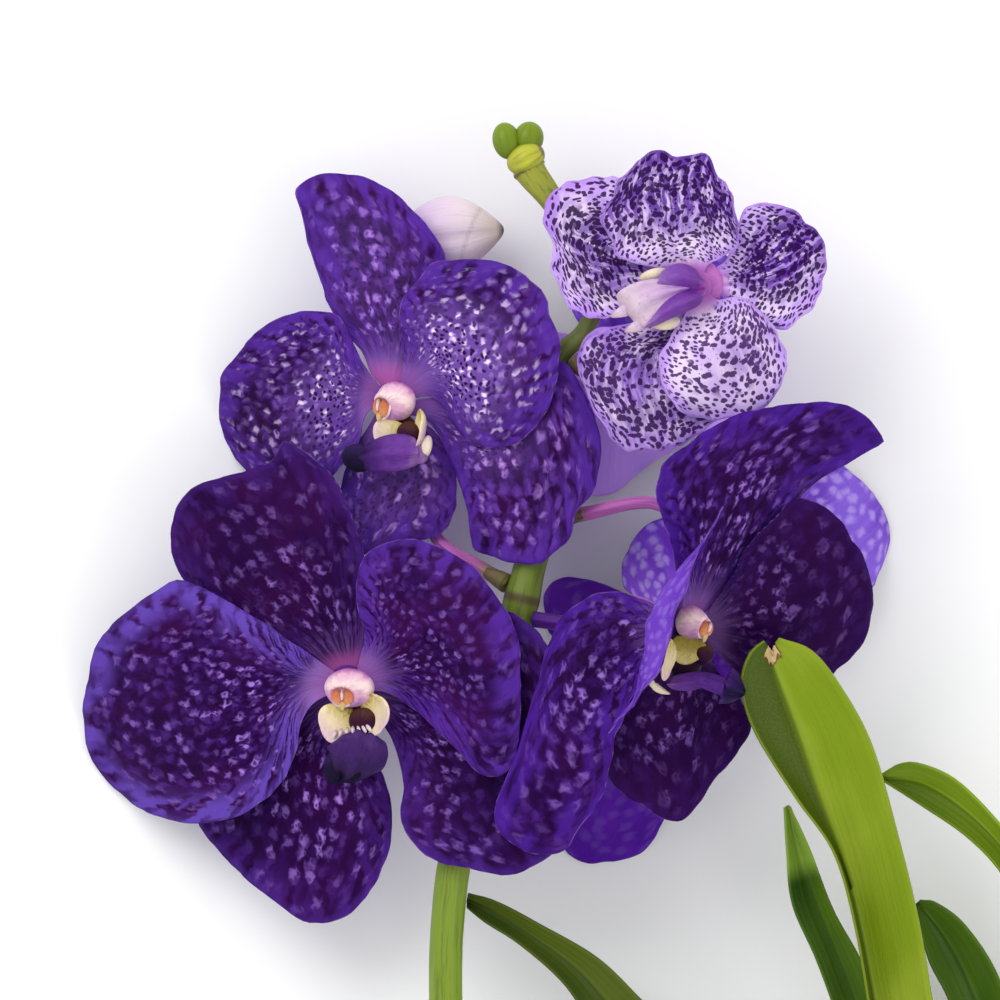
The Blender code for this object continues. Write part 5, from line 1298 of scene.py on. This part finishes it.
BUDS = [
    ("bud_pale_body", "bud_pale", "bud_white", bud_pale_skin,
     ((-11.2, 64.2, 17), 5, (12.2, 9.5, 7.6), 0.5, 0.07, sepal_line)),
    ("bud_tip_left_body", "bud_tip_left", "bud_green", bud_green_skin,
     ((1.6, 86.3, 34), 104, (4.5, 3.4, 3.2))),
    ("bud_tip_right_body", "bud_tip_right", "bud_green", bud_green_skin,
     ((6.9, 87.0, 33.6), 80, (4.0, 3.6, 3.4))),
    ("flower_stem_node", "flower_stem", "bud_green", bud_node_skin,
     ((6.2, 82.0, 34.8), 28, (4.8, 3.7, 4.6), 0.0, 0.03, node_scar)),
]
for name, node, slot, skin, form in BUDS:
    add_piece(name, bud_mesh(name, *form), [skin], node)
print("buds:", len(BUDS))

# %% [markdown]
# ## Strap leaves
# A leaf is folded along its keel. Three lines from its base to its tip give its two edges and the
# keel, and the sheet is lofted between them with a soft, not a sharp, fold. It is twice as thick as
# a petal. The largest leaf has a withered, torn tip.

# %% Leaf builder
LEAF_CELLS = (20, 72)
LEAF_THICKNESS = 0.595
LEAF_LOWEST = 0.8
TORN_FROM = 0.95


def leaf(name, skin, lines, slot, withered=1.1, torn=0.0):
    """A keeled blade lofted through its left edge, its keel and its right edge."""
    along = LEAF_CELLS[1]
    left, keel, right = (by_length(curve_through(line), along) for line in lines)
    length = length_of(keel)
    widest = max((b - a).length for a, b in zip(left, right))
    seed = Vector((len(name) * 2.3 + left[0].x, 0, 0))

    def bite(u):
        return math.exp(-(((u - 0.5) / 0.26) ** 4))

    def shape(u, v):
        j = round(v * along)
        share = 2 * u - 1
        flat = keel[j].lerp((right if share > 0 else left)[j], abs(share))
        spread = (right[j] - left[j]).length
        sag = -0.035 * spread * (1 - abs(share)) * abs(share) * 4
        soften = 0.6 * math.exp(-((share / 0.09) ** 2))
        wave = noise.noise(flat * 0.05 + seed) * 1.1 * abs(share) ** 2 * smooth_step(0.1, 0.4, v)
        groove = 0.12 * math.sin(share * 24) * smooth_step(0.0, 0.2, v)
        point = flat + Vector((0, 0, sag + soften + wave + groove))
        if v > TORN_FROM and torn:
            ragged = torn * (noise.noise(Vector((share * 9.0, v * 9, 4.2)) + seed) - 0.2) * bite(u)
            point += (keel[j] - keel[j - 3]).normalized() * ragged * (v - TORN_FROM) / 0.05
        point.z = max(point.z, LEAF_LOWEST)
        return point

    marks = {
        "edge": lambda u, v: min((1 - abs(2 * u - 1)) * 1.6, 1.0) * (1 if v < 0.97 else 0.6),
        "withered": lambda u, v: smooth_step(withered - 0.03, withered + 0.02, v) * bite(u),
    }
    mesh = grid_mesh(name, LEAF_CELLS, shape, lambda u, v: ((u - 0.5) * widest, v * length), marks)
    face_towards(mesh, (0, 0, 1))
    piece = add_piece(name + "_blade", mesh, [skin], name)
    thicken(piece, LEAF_THICKNESS, backed=False)


print("leaf builder ready")

# %% [markdown]
# ## The seven leaves
# The large leaf on the right runs up beside the blooms. Behind it are a mid-green leaf, two dark
# ones and a long one that crosses the flower stem. Two more at the bottom are outside the picture
# and complete the fan. Each row gives the left edge, the keel and the right edge from base to tip.

# %% Leaves
LEAVES = [
    (leaf_bright, "leaf_green",
     [(98, -172, 19), (94, -151, 30), (90, -134, 38), (88.3, -120, 44), (84.7, -100.6, 52), (79.7, -84, 57),
      (70.6, -71, 60), (60.7, -55.2, 63), (57.5, -44, 66), (59.5, -36.5, 67), (63, -33.6, 67)],
     [(106.9, -172.3, 11.6), (96, -146, 22), (91, -127, 32), (86, -102, 41), (81.5, -86, 49),
      (75.4, -69.4, 54), (71.8, -58.3, 58), (68.2, -48.5, 61), (65, -39.5, 64), (64.6, -35.5, 66)],
     [(113, -169.4, 19), (109, -151, 28), (107, -134, 34), (103.7, -119.5, 40), (100.4, -101, 47),
      (95, -79.2, 54), (88.8, -58.3, 60), (81.6, -44.9, 64), (74.5, -36, 67), (66.5, -32.8, 67)]),
    (leaf_plain, "leaf_green",
     [(114.4, -181, 15.8), (118.6, -167, 17), (124, -151, 21), (128, -132, 26), (128, -113, 31),
      (125, -98, 35), (119.5, -88.3, 37), (111.6, -80.4, 37), (101.8, -73.7, 34), (92.4, -67.6, 30)],
     [(120.3, -182.2, 9.1), (123.4, -168, 12), (128, -152, 16.6), (133, -132, 23), (133, -112, 28),
      (129, -96, 32), (121, -84, 34), (112, -75, 34), (102, -68.6, 32), (92, -66.8, 29)],
     [(123.6, -181.4, 16), (128, -168, 18), (133, -153, 22), (139, -132, 29), (138, -110, 34),
      (130, -91, 38), (120, -77.8, 40), (109.7, -67.4, 39), (101, -63.4, 36), (96, -63.4, 33),
      (92, -65.8, 30)]),
    (leaf_deep, "leaf_dark_green",
     [(109.5, -169.2, 9), (113, -150, 15), (112, -132, 19), (108, -120, 21), (103.7, -111.6, 22),
      (101, -102.5, 23), (99.8, -97.6, 22)],
     [(113.55, -169.4, 4.8), (118.5, -148, 11), (118, -132, 15), (113, -117, 18), (108, -107, 19),
      (103, -100, 21), (100.6, -97, 21.4)],
     [(117.4, -168.4, 9), (124, -148, 16), (125, -132, 20), (120, -114.7, 23), (112, -102.4, 25),
      (105, -97, 25), (101.4, -96.4, 23)]),
    (leaf_limed, "leaf_dark_green",
     [(98.4, -173.4, 13.4), (90, -149, 20.4), (84, -132, 25), (76.6, -111.6, 29), (70.4, -97.2, 31),
      (69, -84, 32), (68.4, -74, 34)],
     [(102.4, -172.6, 8), (95, -147, 15), (89, -131, 20), (82, -112, 24), (76, -97, 27), (72, -84, 29),
      (69.2, -73.4, 33)],
     [(103.6, -166, 12), (100, -146, 19), (94.6, -131, 24), (87.4, -112, 28), (80, -98.4, 31),
      (74.4, -84, 33), (69.8, -74, 34)]),
    (leaf_olive, "leaf_green",
     [(99, -181, 9), (72, -164, 16), (44, -148, 22), (26, -132, 27), (16, -117, 30), (5, -107, 30),
      (-3.5, -101.6, 28), (-8, -98, 26)],
     [(103.6, -179.4, 6.4), (76, -160, 12), (49, -142, 18), (31, -127, 23), (19, -113.6, 26),
      (7, -104.6, 27), (-2.4, -99, 26), (-8, -96.4, 25)],
     [(102.2, -177.4, 8.6), (80, -155, 17), (57, -138, 23), (38, -124, 27), (24, -110.6, 30),
      (9, -101.8, 30), (-1, -96.6, 28), (-7.6, -94.6, 26)]),
    (leaf_plain, "leaf_green",
     [(122.6, -185.5, 10.6), (142, -168, 19), (160, -150, 26), (174, -130, 26), (180, -114, 20)],
     [(121.9, -190.2, 6.6), (146, -173, 14), (166, -155, 20), (179, -133, 21), (183, -115, 17)],
     [(124.6, -194.6, 10.6), (150, -178, 18), (172, -160, 25), (186, -136, 26), (186, -116, 20)]),
    (leaf_plain, "leaf_green",
     [(126.6, -198.6, 10.4), (146, -194, 16), (168, -188, 18), (188, -178, 14), (198, -170, 8)],
     [(125.5, -203.2, 6.4), (147, -200, 11), (170, -194, 13), (191, -183, 10), (200, -173, 5)],
     [(128.2, -207, 10.4), (148, -206, 15), (173, -200, 18), (195, -188, 14), (202, -176, 7)]),
]
for number, (skin, slot, *lines) in enumerate(LEAVES, 1):
    old_tip = {"withered": 0.985, "torn": 1.7} if number == 1 else {}
    leaf(f"leaf_{number}", skin, lines, slot, **old_tip)
print("leaves made:", len(LEAVES))

# %% [markdown]
# ## The leafy stem
# The leaves clasp a short thick stem, each with a sheath that wraps round it. The stem rests on the
# surface, so it is slightly flat underneath, and its lower end is a clean cut with a pale face.

# %% Leafy stem and sheaths
LEAFY_AXIS = [(121, -214, 6.2, 6.8), (116, -196, 6.2, 6.9), (111, -178, 6.2, 6.9), (109.2, -171.5, 7, 6.4)]
SHEATH_SPANS = ((1, 10), (6, 15), (11, 20), (15, 24))


def add_resting(name, mesh, skin):
    """A piece of the leafy stem, pressed flat where it would sink into the surface."""
    for vertex in mesh.vertices:
        vertex.co.z = max(vertex.co.z, 0.0)
    add_piece(name, mesh, [skin], "leafy_stem")


leafy_mesh, leafy_length = stem_mesh(
    "leafy_stem", LEAFY_AXIS, 48, 0.9, 9, 0.012,
    swell=lambda v: 0.035 * math.sin(v * 21) ** 8, scar=lambda v: 0.7 * math.sin(v * 21) ** 24,
)
add_resting("leafy_stem_surface", leafy_mesh, leafy_stem_skin)
print("leafy stem is", round(leafy_length), "mm long")
spots = sampled(LEAFY_AXIS, 24)
for i, (low, high) in enumerate(SHEATH_SPANS):
    sleeve = [(*place, size + 0.75 - 0.08 * abs(k - 2)) for k, (place, size) in enumerate(spots[low:high:2])]
    sheath, _ = stem_mesh(f"sheath_{i + 1}", sleeve, 48, 0.9, 11, 0.014)
    add_resting(f"leafy_stem_sheath_{i + 1}", sheath, sheath_skin)

# %% [markdown]
# ## The column and the lip
# At the middle of a bloom stands the column, a short fleshy hood with the anther cap at its front.
# Below it is the lip: two cupped side lobes, a dark throat between them with small pale teeth, and a
# ridged middle lobe that bends down to a dark tip. All of them are closed bodies, so each is a grid
# rolled into a ball and moved by its own rule. Their places are counted along the lip, across it and
# out of the bloom. A bloom that is seen from above finds that place under a spot of the plan.

# %% Fleshy bodies
NO_SPIN = Matrix.Identity(3)
SEAT_HEIGHT = 0.75
FOOT_RADIUS = 3.2
TOOTH = 0.7


class Bloom:
    """The centre of a bloom: its name, its hub and its axes along, across and out of it."""

    def __init__(self, letter, hub, heading, facing, seen=True):
        self.name = "bloom_" + letter
        self.hub = hub
        self.axes = bloom_frame(heading, facing)
        self.seen = seen

    def at(self, x, y, out):
        """The place at a height out of the bloom that lies x and y from its middle in the plan."""
        if not self.seen:
            return Vector((x, y, out))
        rows = Matrix((self.axes[0][:2], self.axes[1][:2]))
        flat = rows.inverted() @ Vector((x - self.axes[0][2] * out, y - self.axes[1][2] * out))
        return Vector((flat.x, flat.y, out))

    def add(self, part, mesh, skin, organ, slot=None):
        add_piece(f"{self.name}_{part}", mesh, [skin], f"{self.name}_{organ}")


def ball_direction(turn, v):
    ring = math.sin(math.pi * v) if 0 < v < 1 else 0.0
    return Vector((math.cos(turn) * ring, math.sin(turn) * ring, -math.cos(math.pi * v)))


def ball_mesh(bloom, part, place, run, cells, size):
    """A closed mesh from place(direction, turn, v), counted along, across and out of the bloom."""
    def spot(u, v):
        turn = turn_at(u, cells[0])
        return ball_direction(turn, v), turn, v

    return grid_mesh(f"{bloom.name}_{part}", cells,
                     lambda u, v: bloom.hub + bloom.axes @ Vector(place(*spot(u, v))),
                     lambda u, v: (u * 2 * math.pi * size, v * math.pi * size),
                     {"run": lambda u, v: run(*spot(u, v))}, closed=True)


def aimed(aim):
    """Axes whose third one is the aim and whose first one runs as near as it can along the lip."""
    aim = Vector(aim).normalized()
    lean = Vector((1.0, 0.0, 0.0))
    first = (lean - aim * aim.dot(lean)).normalized()
    return Matrix((first, aim.cross(first), aim)).transposed()


def add_egg(bloom, part, middle, radii, skin, organ="lip", spin=NO_SPIN, cells=(24, 16), tip=0.0):
    """A small rounded body on axes of its own, drawn out at one end by its tip."""
    def place(direction, turn, v):
        stretch = 1 + tip * max(direction.x, 0.0)
        return Vector(middle) + spin @ Vector((direction.x * radii[0] * stretch,
                                               direction.y * radii[1] / stretch, direction.z * radii[2]))

    mesh = ball_mesh(bloom, part, place, lambda d, t, v: 0.5 + 0.5 * d.x, cells, radii[0])
    bloom.add(part, mesh, skin, organ)


def add_ear(bloom, part, middle, opens, radii, reach, wall=0.9, skin=ear_skin, organ="lip", lobes=0.06,
            shade=(1.0, 0.0)):
    """A cupped side lobe that opens the way it is given, coloured from its inner to its outer side and
    across it along shade; the dark end of that run is painted shade in the hollow.
    """
    bowl = aimed(opens)
    middle = Vector(middle)
    lift = math.cos(reach) * radii[2]

    def place(direction, turn, v):
        inner = v <= 0.5
        t = 2 * v if inner else 2 * (1 - v)
        polar = t * reach
        depth = wall / 2 * math.sqrt(max(1 - t**6, 0.0)) * (-1 if inner else 1)
        edge = (1 + lobes * math.cos(3 * turn + 0.7) * t * t) / math.sin(min(reach, math.pi / 2))
        local = Vector((math.cos(turn) * math.sin(polar) * (radii[0] + depth) * edge,
                        math.sin(turn) * math.sin(polar) * (radii[1] + depth) * edge,
                        lift - math.cos(polar) * (radii[2] + depth)))
        local.z += 0.25 * noise.noise(local * 0.45 + middle)
        return middle + bowl @ local

    # Partly painted shade: the colour runs across the lobe along shade, and its darkest end is painted
    # shade; the yellow-green, cream and lilac are the lobe's own colours.
    def run(direction, turn, v):
        away = bloom.axes @ (place(direction, turn, v) - middle)
        side = (away.x * shade[0] + away.y * shade[1]) / max(radii[0], radii[1])
        return 0.46 + 0.46 * side + (0.12 if v > 0.5 else 0.0)

    bloom.add(part, ball_mesh(bloom, part, place, run, (44, 44), radii[0]), skin, organ, "lip_violet")


def add_column(bloom, middle, radii, nose, aim, cap=(2.0, 1.5), skin=column_skin):
    """The hood on its foot, with a rimmed hollow that holds the two halves of the anther cap."""
    middle, nose = Vector(middle), Vector(nose)
    face = aimed(aim)
    hollow = (cap[0] * 1.15 + 0.3, cap[1] * 2 + 0.3)

    def place(direction, turn, v):
        point = middle + Vector([direction[i] * radii[i] for i in range(3)])
        if direction.z < 0:
            down = smooth_step(0.0, 0.8, -direction.z)
            foot = Vector((direction.x, direction.y, 0)) * FOOT_RADIUS
            foot.z = middle.z - (middle.z - SEAT_HEIGHT) * down
            point = point.lerp(foot, down)
        pull = math.exp(-(((point - nose) / 4.2).length_squared))
        point += (nose - point) * 0.45 * pull
        local = face.transposed() @ (point - nose)
        away = math.hypot(local.x / hollow[0], local.y / hollow[1])
        if direction.dot(face.col[2]) > 0.1:
            sink = 1.2 * (1 - smooth_step(0.55, 1.0, away)) - 0.45 * math.exp(-(((away - 1.22) / 0.2) ** 2))
            point -= face.col[2] * sink
        return point + point.normalized() * 0.22 * noise.noise(point * 0.35 + bloom.hub)

    # Partly painted light: the colour runs along one fixed slant through the hood, from the magenta blush at
    # the back, through a pale band of painted highlight, to lilac painted shade on the side towards the lip.
    def run(direction, turn, v):
        return 0.5 + 0.5 * direction.dot(Vector((0.8, 0, 0.6)))

    def add_small(part, local, form, small_skin, tip=0.0):
        add_egg(bloom, "column_" + part, nose + face @ Vector(local), form, small_skin, "column", face,
                tip=tip)

    bloom.add("column_hood", ball_mesh(bloom, "column", place, run, (84, 64), 5.5), skin, "column")
    for half, side in (("left", -1), ("right", 1)):
        add_small("cap_" + half, (0, side * cap[1] * 0.98, -0.35), (cap[0], cap[1] * 1.05, 1.15), cap_skin)
    if skin is column_skin:
        add_ear(bloom, "column_collar", nose - face.col[2] * 0.75, aim, (cap[0] * 1.45, cap[1] * 2.5, 2.2),
                0.9, 0.7, column_skin, "column", lobes=0.03, shade=(0.5, -0.4))
    add_small("bar", (-0.6, 0, 0.55), (cap[0] * 0.7, 0.36, 0.55), tooth_skin)
    add_small("beak", (cap[0] * 1.02, 0, 0), (1.0, 0.85, 0.6), beak_skin, 0.5)


def add_seat(bloom, base, size, seat=5.3, skin=seat_skin):
    """The fleshy seat behind the column and the root that the lobes of the lip grow from."""
    add_egg(bloom, "receptacle", (0.0, 0.0, -1.5), (seat, seat, 1.3), skin, "column", cells=(32, 16))
    add_egg(bloom, "lip_root", base, size, root_skin, cells=(32, 20))


def add_tongue(bloom, part, route, ridges=3, ridge=0.35, droop=1.4, skin=lobe_skin, roll=0.0,
               cells=(56, 44), blunt=6):
    """The ridged middle lobe along a route of (x, y, out, half width, half thickness)."""
    spine = curve_through([bloom.at(*row[:3]) for row in route])
    sizes = curve_through([(*row[3:], 0) for row in route])
    length = length_of(spine)
    tilt = Vector((0, math.cos(math.radians(roll)), math.sin(math.radians(roll))))

    def at(curve, v):
        return between(curve, v * (len(curve) - 1))

    def shape(u, v):
        turn = turn_at(u, cells[0])
        run = (at(spine, min(v + 0.03, 1.0)) - at(spine, max(v - 0.03, 0.0))).normalized()
        lean = Vector((-1, 0, 0)) * math.copysign(1, run.y) if abs(run.y) > 0.8 else tilt
        side = (lean - run * lean.dot(run)).normalized()
        half = at(sizes, v)
        ends = math.sqrt(max(1 - abs(2 * v - 1) ** blunt, 0.0))
        y, z = math.cos(turn), math.sin(turn)
        lift = half.y * z * ends - droop * y * y * ends
        if z > 0:
            lift += ridge * math.cos(ridges * math.pi * y) * z * ends
        return bloom.hub + bloom.axes @ (at(spine, v) + side * y * half.x * ends + run.cross(side) * lift)

    mesh = grid_mesh(f"{bloom.name}_{part}", cells, shape, lambda u, v: (u * 22, v * length),
                     {"run": lambda u, v: v}, closed=True)
    bloom.add(part, mesh, skin, "lip")


def turned(degrees):
    return Matrix.Rotation(math.radians(degrees), 3, "Z")


def add_teeth(bloom, out, places):
    for i, (x, y) in enumerate(places):
        add_egg(bloom, f"tooth_{i + 1}", bloom.at(x, y, out), (TOOTH * 1.7, TOOTH * 0.7, TOOTH),
                tooth_skin, spin=turned(9 * (i - 2)), cells=(14, 10))


print("bodies of the lip ready")

# %% [markdown]
# ## Lip and column of the bloom in front
# The cap sits at the lower left of a broad hood. The left lobe is a wide open cup, the right one
# stands taller, and the middle lobe bends over to the right with its black tip at the left.

# %% Centre of bloom A
bloom = Bloom("a", HUB_A, 268, FACING_A)
add_seat(bloom, bloom.at(2.8, -8, 2.4), (5.2, 6, 1.9))
add_column(bloom, bloom.at(0.9, -0.2, 4.9), (4.9, 6.3, 4.4), bloom.at(-0.8, -2.2, 8.9), (0.22, 0.12, 1),
           (1.9, 1.35))
add_egg(bloom, "throat", bloom.at(4.2, -8, 5), (3.4, 3.6, 2), root_skin)
add_ear(bloom, "ear_left", bloom.at(-1.9, -8.4, 6), (-0.06, 0.22, 1), (4.7, 4.9, 2.6), 0.95, lobes=0.1,
        shade=(-0.65, -0.62))
add_ear(bloom, "ear_right", bloom.at(6.8, -6.2, 6.9), (0.05, -0.36, 0.9), (5, 4.2, 3), 1.1, lobes=0.1,
        shade=(0.8, -0.45))
add_teeth(bloom, 6.4, ((-2.6, -11.2), (-1.2, -10.9), (0.3, -10.6), (1.8, -10.3), (3.2, -10), (4.4, -9.8),
                       (5.5, -9.6)))
add_tongue(bloom, "tongue", [
    (3, -10.4, 4.8, 4.6, 0.8), (3, -11.8, 7, 6.4, 1.2), (2.6, -15, 8.2, 7.4, 1.4),
    (2, -18.4, 7.2, 7, 1.4), (0.2, -21, 5, 5, 1.3), (-1.4, -22.6, 3.2, 2.8, 0.9),
], ridge=0.6, roll=-6, droop=2.2)
for number, x, y, size, skin in ((1, -3, -19.4, 2.5, black_skin), (6, 2, -18.6, 2.4, black_skin),
                                 (10, 6, -17.4, 1.8, lobe_skin)):
    add_egg(bloom, f"tip_{number}", bloom.at(x, y, 5.4), (size * 1.5, size, 1.9), skin)
print("centre of bloom A made")

# %% [markdown]
# ## Lip and column of the upper left bloom
# This bloom looks to the left, so its cap sits at the left of the hood, and the middle lobe lies
# across with a black tip at the left.

# %% Centre of bloom B
bloom = Bloom("b", HUB_B, 255, FACING_B)
add_seat(bloom, bloom.at(2, -7.4, 2.2), (4.6, 5, 1.8))
add_column(bloom, bloom.at(0.9, 0.2, 4.4), (4.9, 5.2, 4.2), bloom.at(-2.9, -1.2, 7.6), (0.2, -0.55, 0.9),
           (2.1, 1.25))
add_egg(bloom, "throat", bloom.at(4.2, -7.6, 5), (3, 3.2, 2), root_skin)
add_ear(bloom, "ear_left", bloom.at(-0.4, -7.6, 5.8), (-0.05, 0.2, 1), (3.6, 4.4, 2.4), 0.95,
        shade=(-0.75, -0.1))
add_ear(bloom, "ear_right", bloom.at(6, -6.4, 7.2), (0.1, -0.85, 0.6), (4.9, 2.6, 2.4), 1.3,
        shade=(0.5, -0.75))
add_teeth(bloom, 6.2, ((4.4, -9.9), (5.7, -10.3)))
add_tongue(bloom, "tongue", [
    (8.4, -11.4, 5.4, 1.6, 0.8), (6.2, -12, 7.4, 3.2, 1.3), (2.2, -12, 8.4, 4.4, 1.5),
    (-2.4, -12.4, 8.2, 4.4, 1.4), (-6.2, -13.2, 6.8, 3.6, 1.2), (-9, -13.8, 5.4, 1.8, 0.8),
], ridges=2, ridge=0.5, skin=lobe_b_skin)
add_egg(bloom, "tip", bloom.at(-8.2, -13.4, 5.6), (3.4, 4.2, 1.9), black_skin)
add_egg(bloom, "knob", bloom.at(8.3, -10.8, 6.6), (2.9, 1.4, 1.2), knob_skin)
print("centre of bloom B made")

# %% [markdown]
# ## Lip and column of the bloom on the right
# Seen from above this bloom shows its column from the side, with the orange cap at the right end.

# %% Centre of bloom C
bloom = Bloom("c", HUB_C, 262, FACING_C)
add_seat(bloom, bloom.at(-1.6, -7.6, 2.4), (5, 4.6, 2))
add_column(bloom, bloom.at(-0.9, 2, 4.8), (4.2, 4.3, 4.8), bloom.at(3.3, 0.3, 9.2), (0.15, 0.3, 1),
           (1.8, 1.05))
add_ear(bloom, "trough", bloom.at(-1.2, -4.6, 5.4), (0.05, -0.25, 1), (3.4, 4.6, 2), 1.0, skin=olive_skin,
        lobes=0.1, shade=(-0.1, -0.9))
add_egg(bloom, "throat", bloom.at(2.6, -5.6, 5.4), (2.8, 2.6, 1.8), root_skin)
add_ear(bloom, "ear_left", bloom.at(-5.8, -6.6, 5.8), (0, 0.35, 1), (5, 3, 2.4), 1.0, lobes=0.12,
        shade=(-0.2, -0.6))
add_tongue(bloom, "flange", [
    (-10.6, -10.6, 3.2, 0.4, 0.4), (-10, -12.2, 3.6, 0.9, 0.5), (-8.2, -14, 4.2, 0.9, 0.5),
    (-5.4, -15.2, 4.8, 0.4, 0.4),
], ridges=1, ridge=0.1, droop=0.2, skin=knob_skin, cells=(24, 24))
add_tongue(bloom, "tongue", [
    (-6.6, -12.4, 3, 2.2, 0.7), (-3.2, -12, 5.4, 4.4, 1.1), (1.6, -11.8, 8.6, 5.4, 1.4),
    (6.4, -12.8, 11.8, 5, 1.4), (10.2, -14.2, 14, 3.6, 1.2), (12.4, -15.2, 14.8, 1.8, 0.8),
], ridge=0.6, skin=lobe_c_skin)
print("centre of bloom C made")

# %% [markdown]
# ## Lip and column of the white bloom
# Its lip is seen from the back: a violet fold that opens into a pale end with two points, between
# two small cream lobes.

# %% Centre of bloom D
bloom = Bloom("d", HUB_D, 205, FACING_D)
add_seat(bloom, bloom.at(-5, -2, 2.6), (5, 4, 2.2), 6.4, flush_skin)
add_column(bloom, (-0.4, 0, 3.4), (3.4, 4, 2.9), (2, 0, 5.6), (0.3, 0, 1), (1.2, 0.8), flush_skin)
add_tongue(bloom, "fold", [
    (2.4, -0.6, 6.4, 1.2, 0.7), (-0.4, 1.2, 8, 2.8, 1.1), (-4, 2, 8.8, 3.1, 1.2),
    (-7.4, 1.2, 8.3, 2.3, 1), (-9.8, 0.2, 7.4, 0.9, 0.6),
], ridges=1, ridge=0.5, droop=1.0, skin=fold_skin)
add_tongue(bloom, "fold_lower", [
    (2.2, -1.2, 6.6, 1, 0.6), (0.2, -2.8, 8.4, 2.1, 1), (-3.4, -4.2, 9.3, 2.5, 1.2),
    (-7.2, -6.4, 9, 2.1, 1.1), (-10.4, -8.8, 7.9, 1.3, 0.9), (-12.8, -10.4, 6.7, 0.6, 0.5),
], ridges=1, ridge=0.5, droop=1.0, skin=fold_skin)
add_tongue(bloom, "tail", [
    (-0.6, -0.8, 7.2, 1.2, 0.7), (-5, -1.2, 8.2, 2.4, 0.9), (-9, -2.2, 8, 3.8, 0.9),
    (-12.4, -3.9, 7.4, 5, 0.9), (-15, -5.8, 6.6, 5.5, 0.8), (-16.6, -7.2, 6, 5.3, 0.6),
], ridges=2, ridge=0.5, droop=0.3, skin=tail_skin, blunt=10)
for side, x, y in (("left", -17.2, -6.2), ("right", -13.9, -9.8)):
    add_egg(bloom, "point_" + side, bloom.at(x, y, 6), (2.5, 1.6, 0.8), tail_skin, cells=(18, 12), tip=0.5)
add_egg(bloom, "lobe_upper", bloom.at(-10.4, 2.4, 5.4), (3.4, 1.4, 1.3), knob_skin, spin=turned(-8))
add_egg(bloom, "lobe_lower", bloom.at(-7.4, -9, 5), (3.6, 1.9, 1.4), knob_skin, spin=turned(-20))
print("centre of bloom D made")

# %% [markdown]
# ## Lips and columns of the rear blooms
# They face the surface and are seen only from low down. They have the same parts, in the same
# places. The round neck behind them is a plain egg that stands upright.

# %% Centres of blooms E and F
for letter, hub, heading in (("e", HUB_E, 18), ("f", HUB_F, 209)):
    bloom = Bloom(letter, hub + Vector((0, 0, -3.8)), heading, FACING_DOWN, seen=False)
    add_column(bloom, (-0.5, 0, 4.9), (4.5, 5.7, 4.2), (2.2, 0, 8.4), (0.3, 0, 1))
    add_ear(bloom, "throat", (7.4, 0, 5), (0, 0, 1), (3.2, 3.6, 2.2), 1.5, skin=throat_skin)
    for name, side in (("left", -1), ("right", 1)):
        add_ear(bloom, "ear_" + name, (6.6, 4.6 * side, 6.6), (0, -0.5 * side, 0.9), (3.7, 2.9, 2.7), 1.3,
                shade=(0.0, 0.0))
    add_tongue(bloom, "tongue", [
        (8.4, 0, 5, 3.2, 0.8), (10, 0, 6.8, 4.6, 1.2), (12.4, 0, 7.4, 4.9, 1.3), (15, 0, 6.6, 3.6, 1.1),
        (16.4, 0, 5.2, 1.6, 0.7),
    ])
    add_egg(Bloom(letter, hub, 0, (0, 0, 1)), "neck", (0, 0, -1.9), (5.4, 5.4, 1.9), skin_rear_dark,
            "tepals", cells=(32, 18))
print("centres of the rear blooms made")

# %% [markdown]
# ## Surface, light and camera
# The picture is taken straight down over a plain pale surface, in soft studio light: a large lamp
# from the upper left, a weaker one opposite and a bright surround. The camera is far away with a
# long lens, so heights hardly shift in the picture.

# %% Stage, lights and camera
SENSOR = 36
CAMERA_AWAY = 4.0
PICTURE_WIDTH = 0.24
BLOOM_HEIGHT = 0.04
SURFACE_SIZE = 1.5
LAMP_SIZE = 0.8


def area_light(name, place, power):
    """A round lamp that looks at the model's zero."""
    data = bpy.data.lights.new(name, "AREA")
    data.shape = "DISK"
    data.size = LAMP_SIZE
    data.energy = power
    lamp = in_scene(name, data)
    lamp.location = place
    lamp.rotation_euler = (-Vector(place)).to_track_quat("-Z", "Y").to_euler()


bm = bmesh.new()
bmesh.ops.create_grid(bm, x_segments=1, y_segments=1, size=SURFACE_SIZE)
floor_mesh = bpy.data.meshes.new("surface")
bm.to_mesh(floor_mesh)
bm.free()
pale, _, shader = new_skin("pale_surface")
shader.inputs["Base Color"].default_value = (0.9, 0.9, 0.905, 1.0)
shader.inputs["Roughness"].default_value = 0.9
floor_mesh.materials.append(pale)
floor = in_scene("surface", floor_mesh)
floor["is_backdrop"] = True

world = bpy.data.worlds.new("surround")
world.use_nodes = True
world.node_tree.nodes["Background"].inputs["Color"].default_value = (1.0, 1.0, 1.0, 1.0)
world.node_tree.nodes["Background"].inputs["Strength"].default_value = 0.9
bpy.context.scene.world = world
area_light("key", (-0.55, 0.65, 0.95), 6.2)
area_light("fill", (0.75, -0.35, 0.8), 2.5)

data = bpy.data.cameras.new("camera")
data.sensor_width = SENSOR
data.lens = SENSOR * CAMERA_AWAY / PICTURE_WIDTH
data.clip_end = 20
camera = in_scene("camera", data)
camera.location = placed((0, 0, 0)) + Vector((0, 0, CAMERA_AWAY + BLOOM_HEIGHT))
bpy.context.scene.camera = camera
bpy.context.scene.view_settings.view_transform = "Standard"
print("camera lens", data.lens, "mm")

# %% [markdown]
# ## Size and end
# The box of the plain solids and the box of the finished plant are printed side by side. The pieces
# may not outgrow the solids.

# %% Write the size and finish
visual_box = [list(corner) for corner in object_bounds()]
for name, box in (("solids", solid_box), ("visual", visual_box)):
    print(name, [[round(value * 1000, 1) for value in corner] for corner in box])
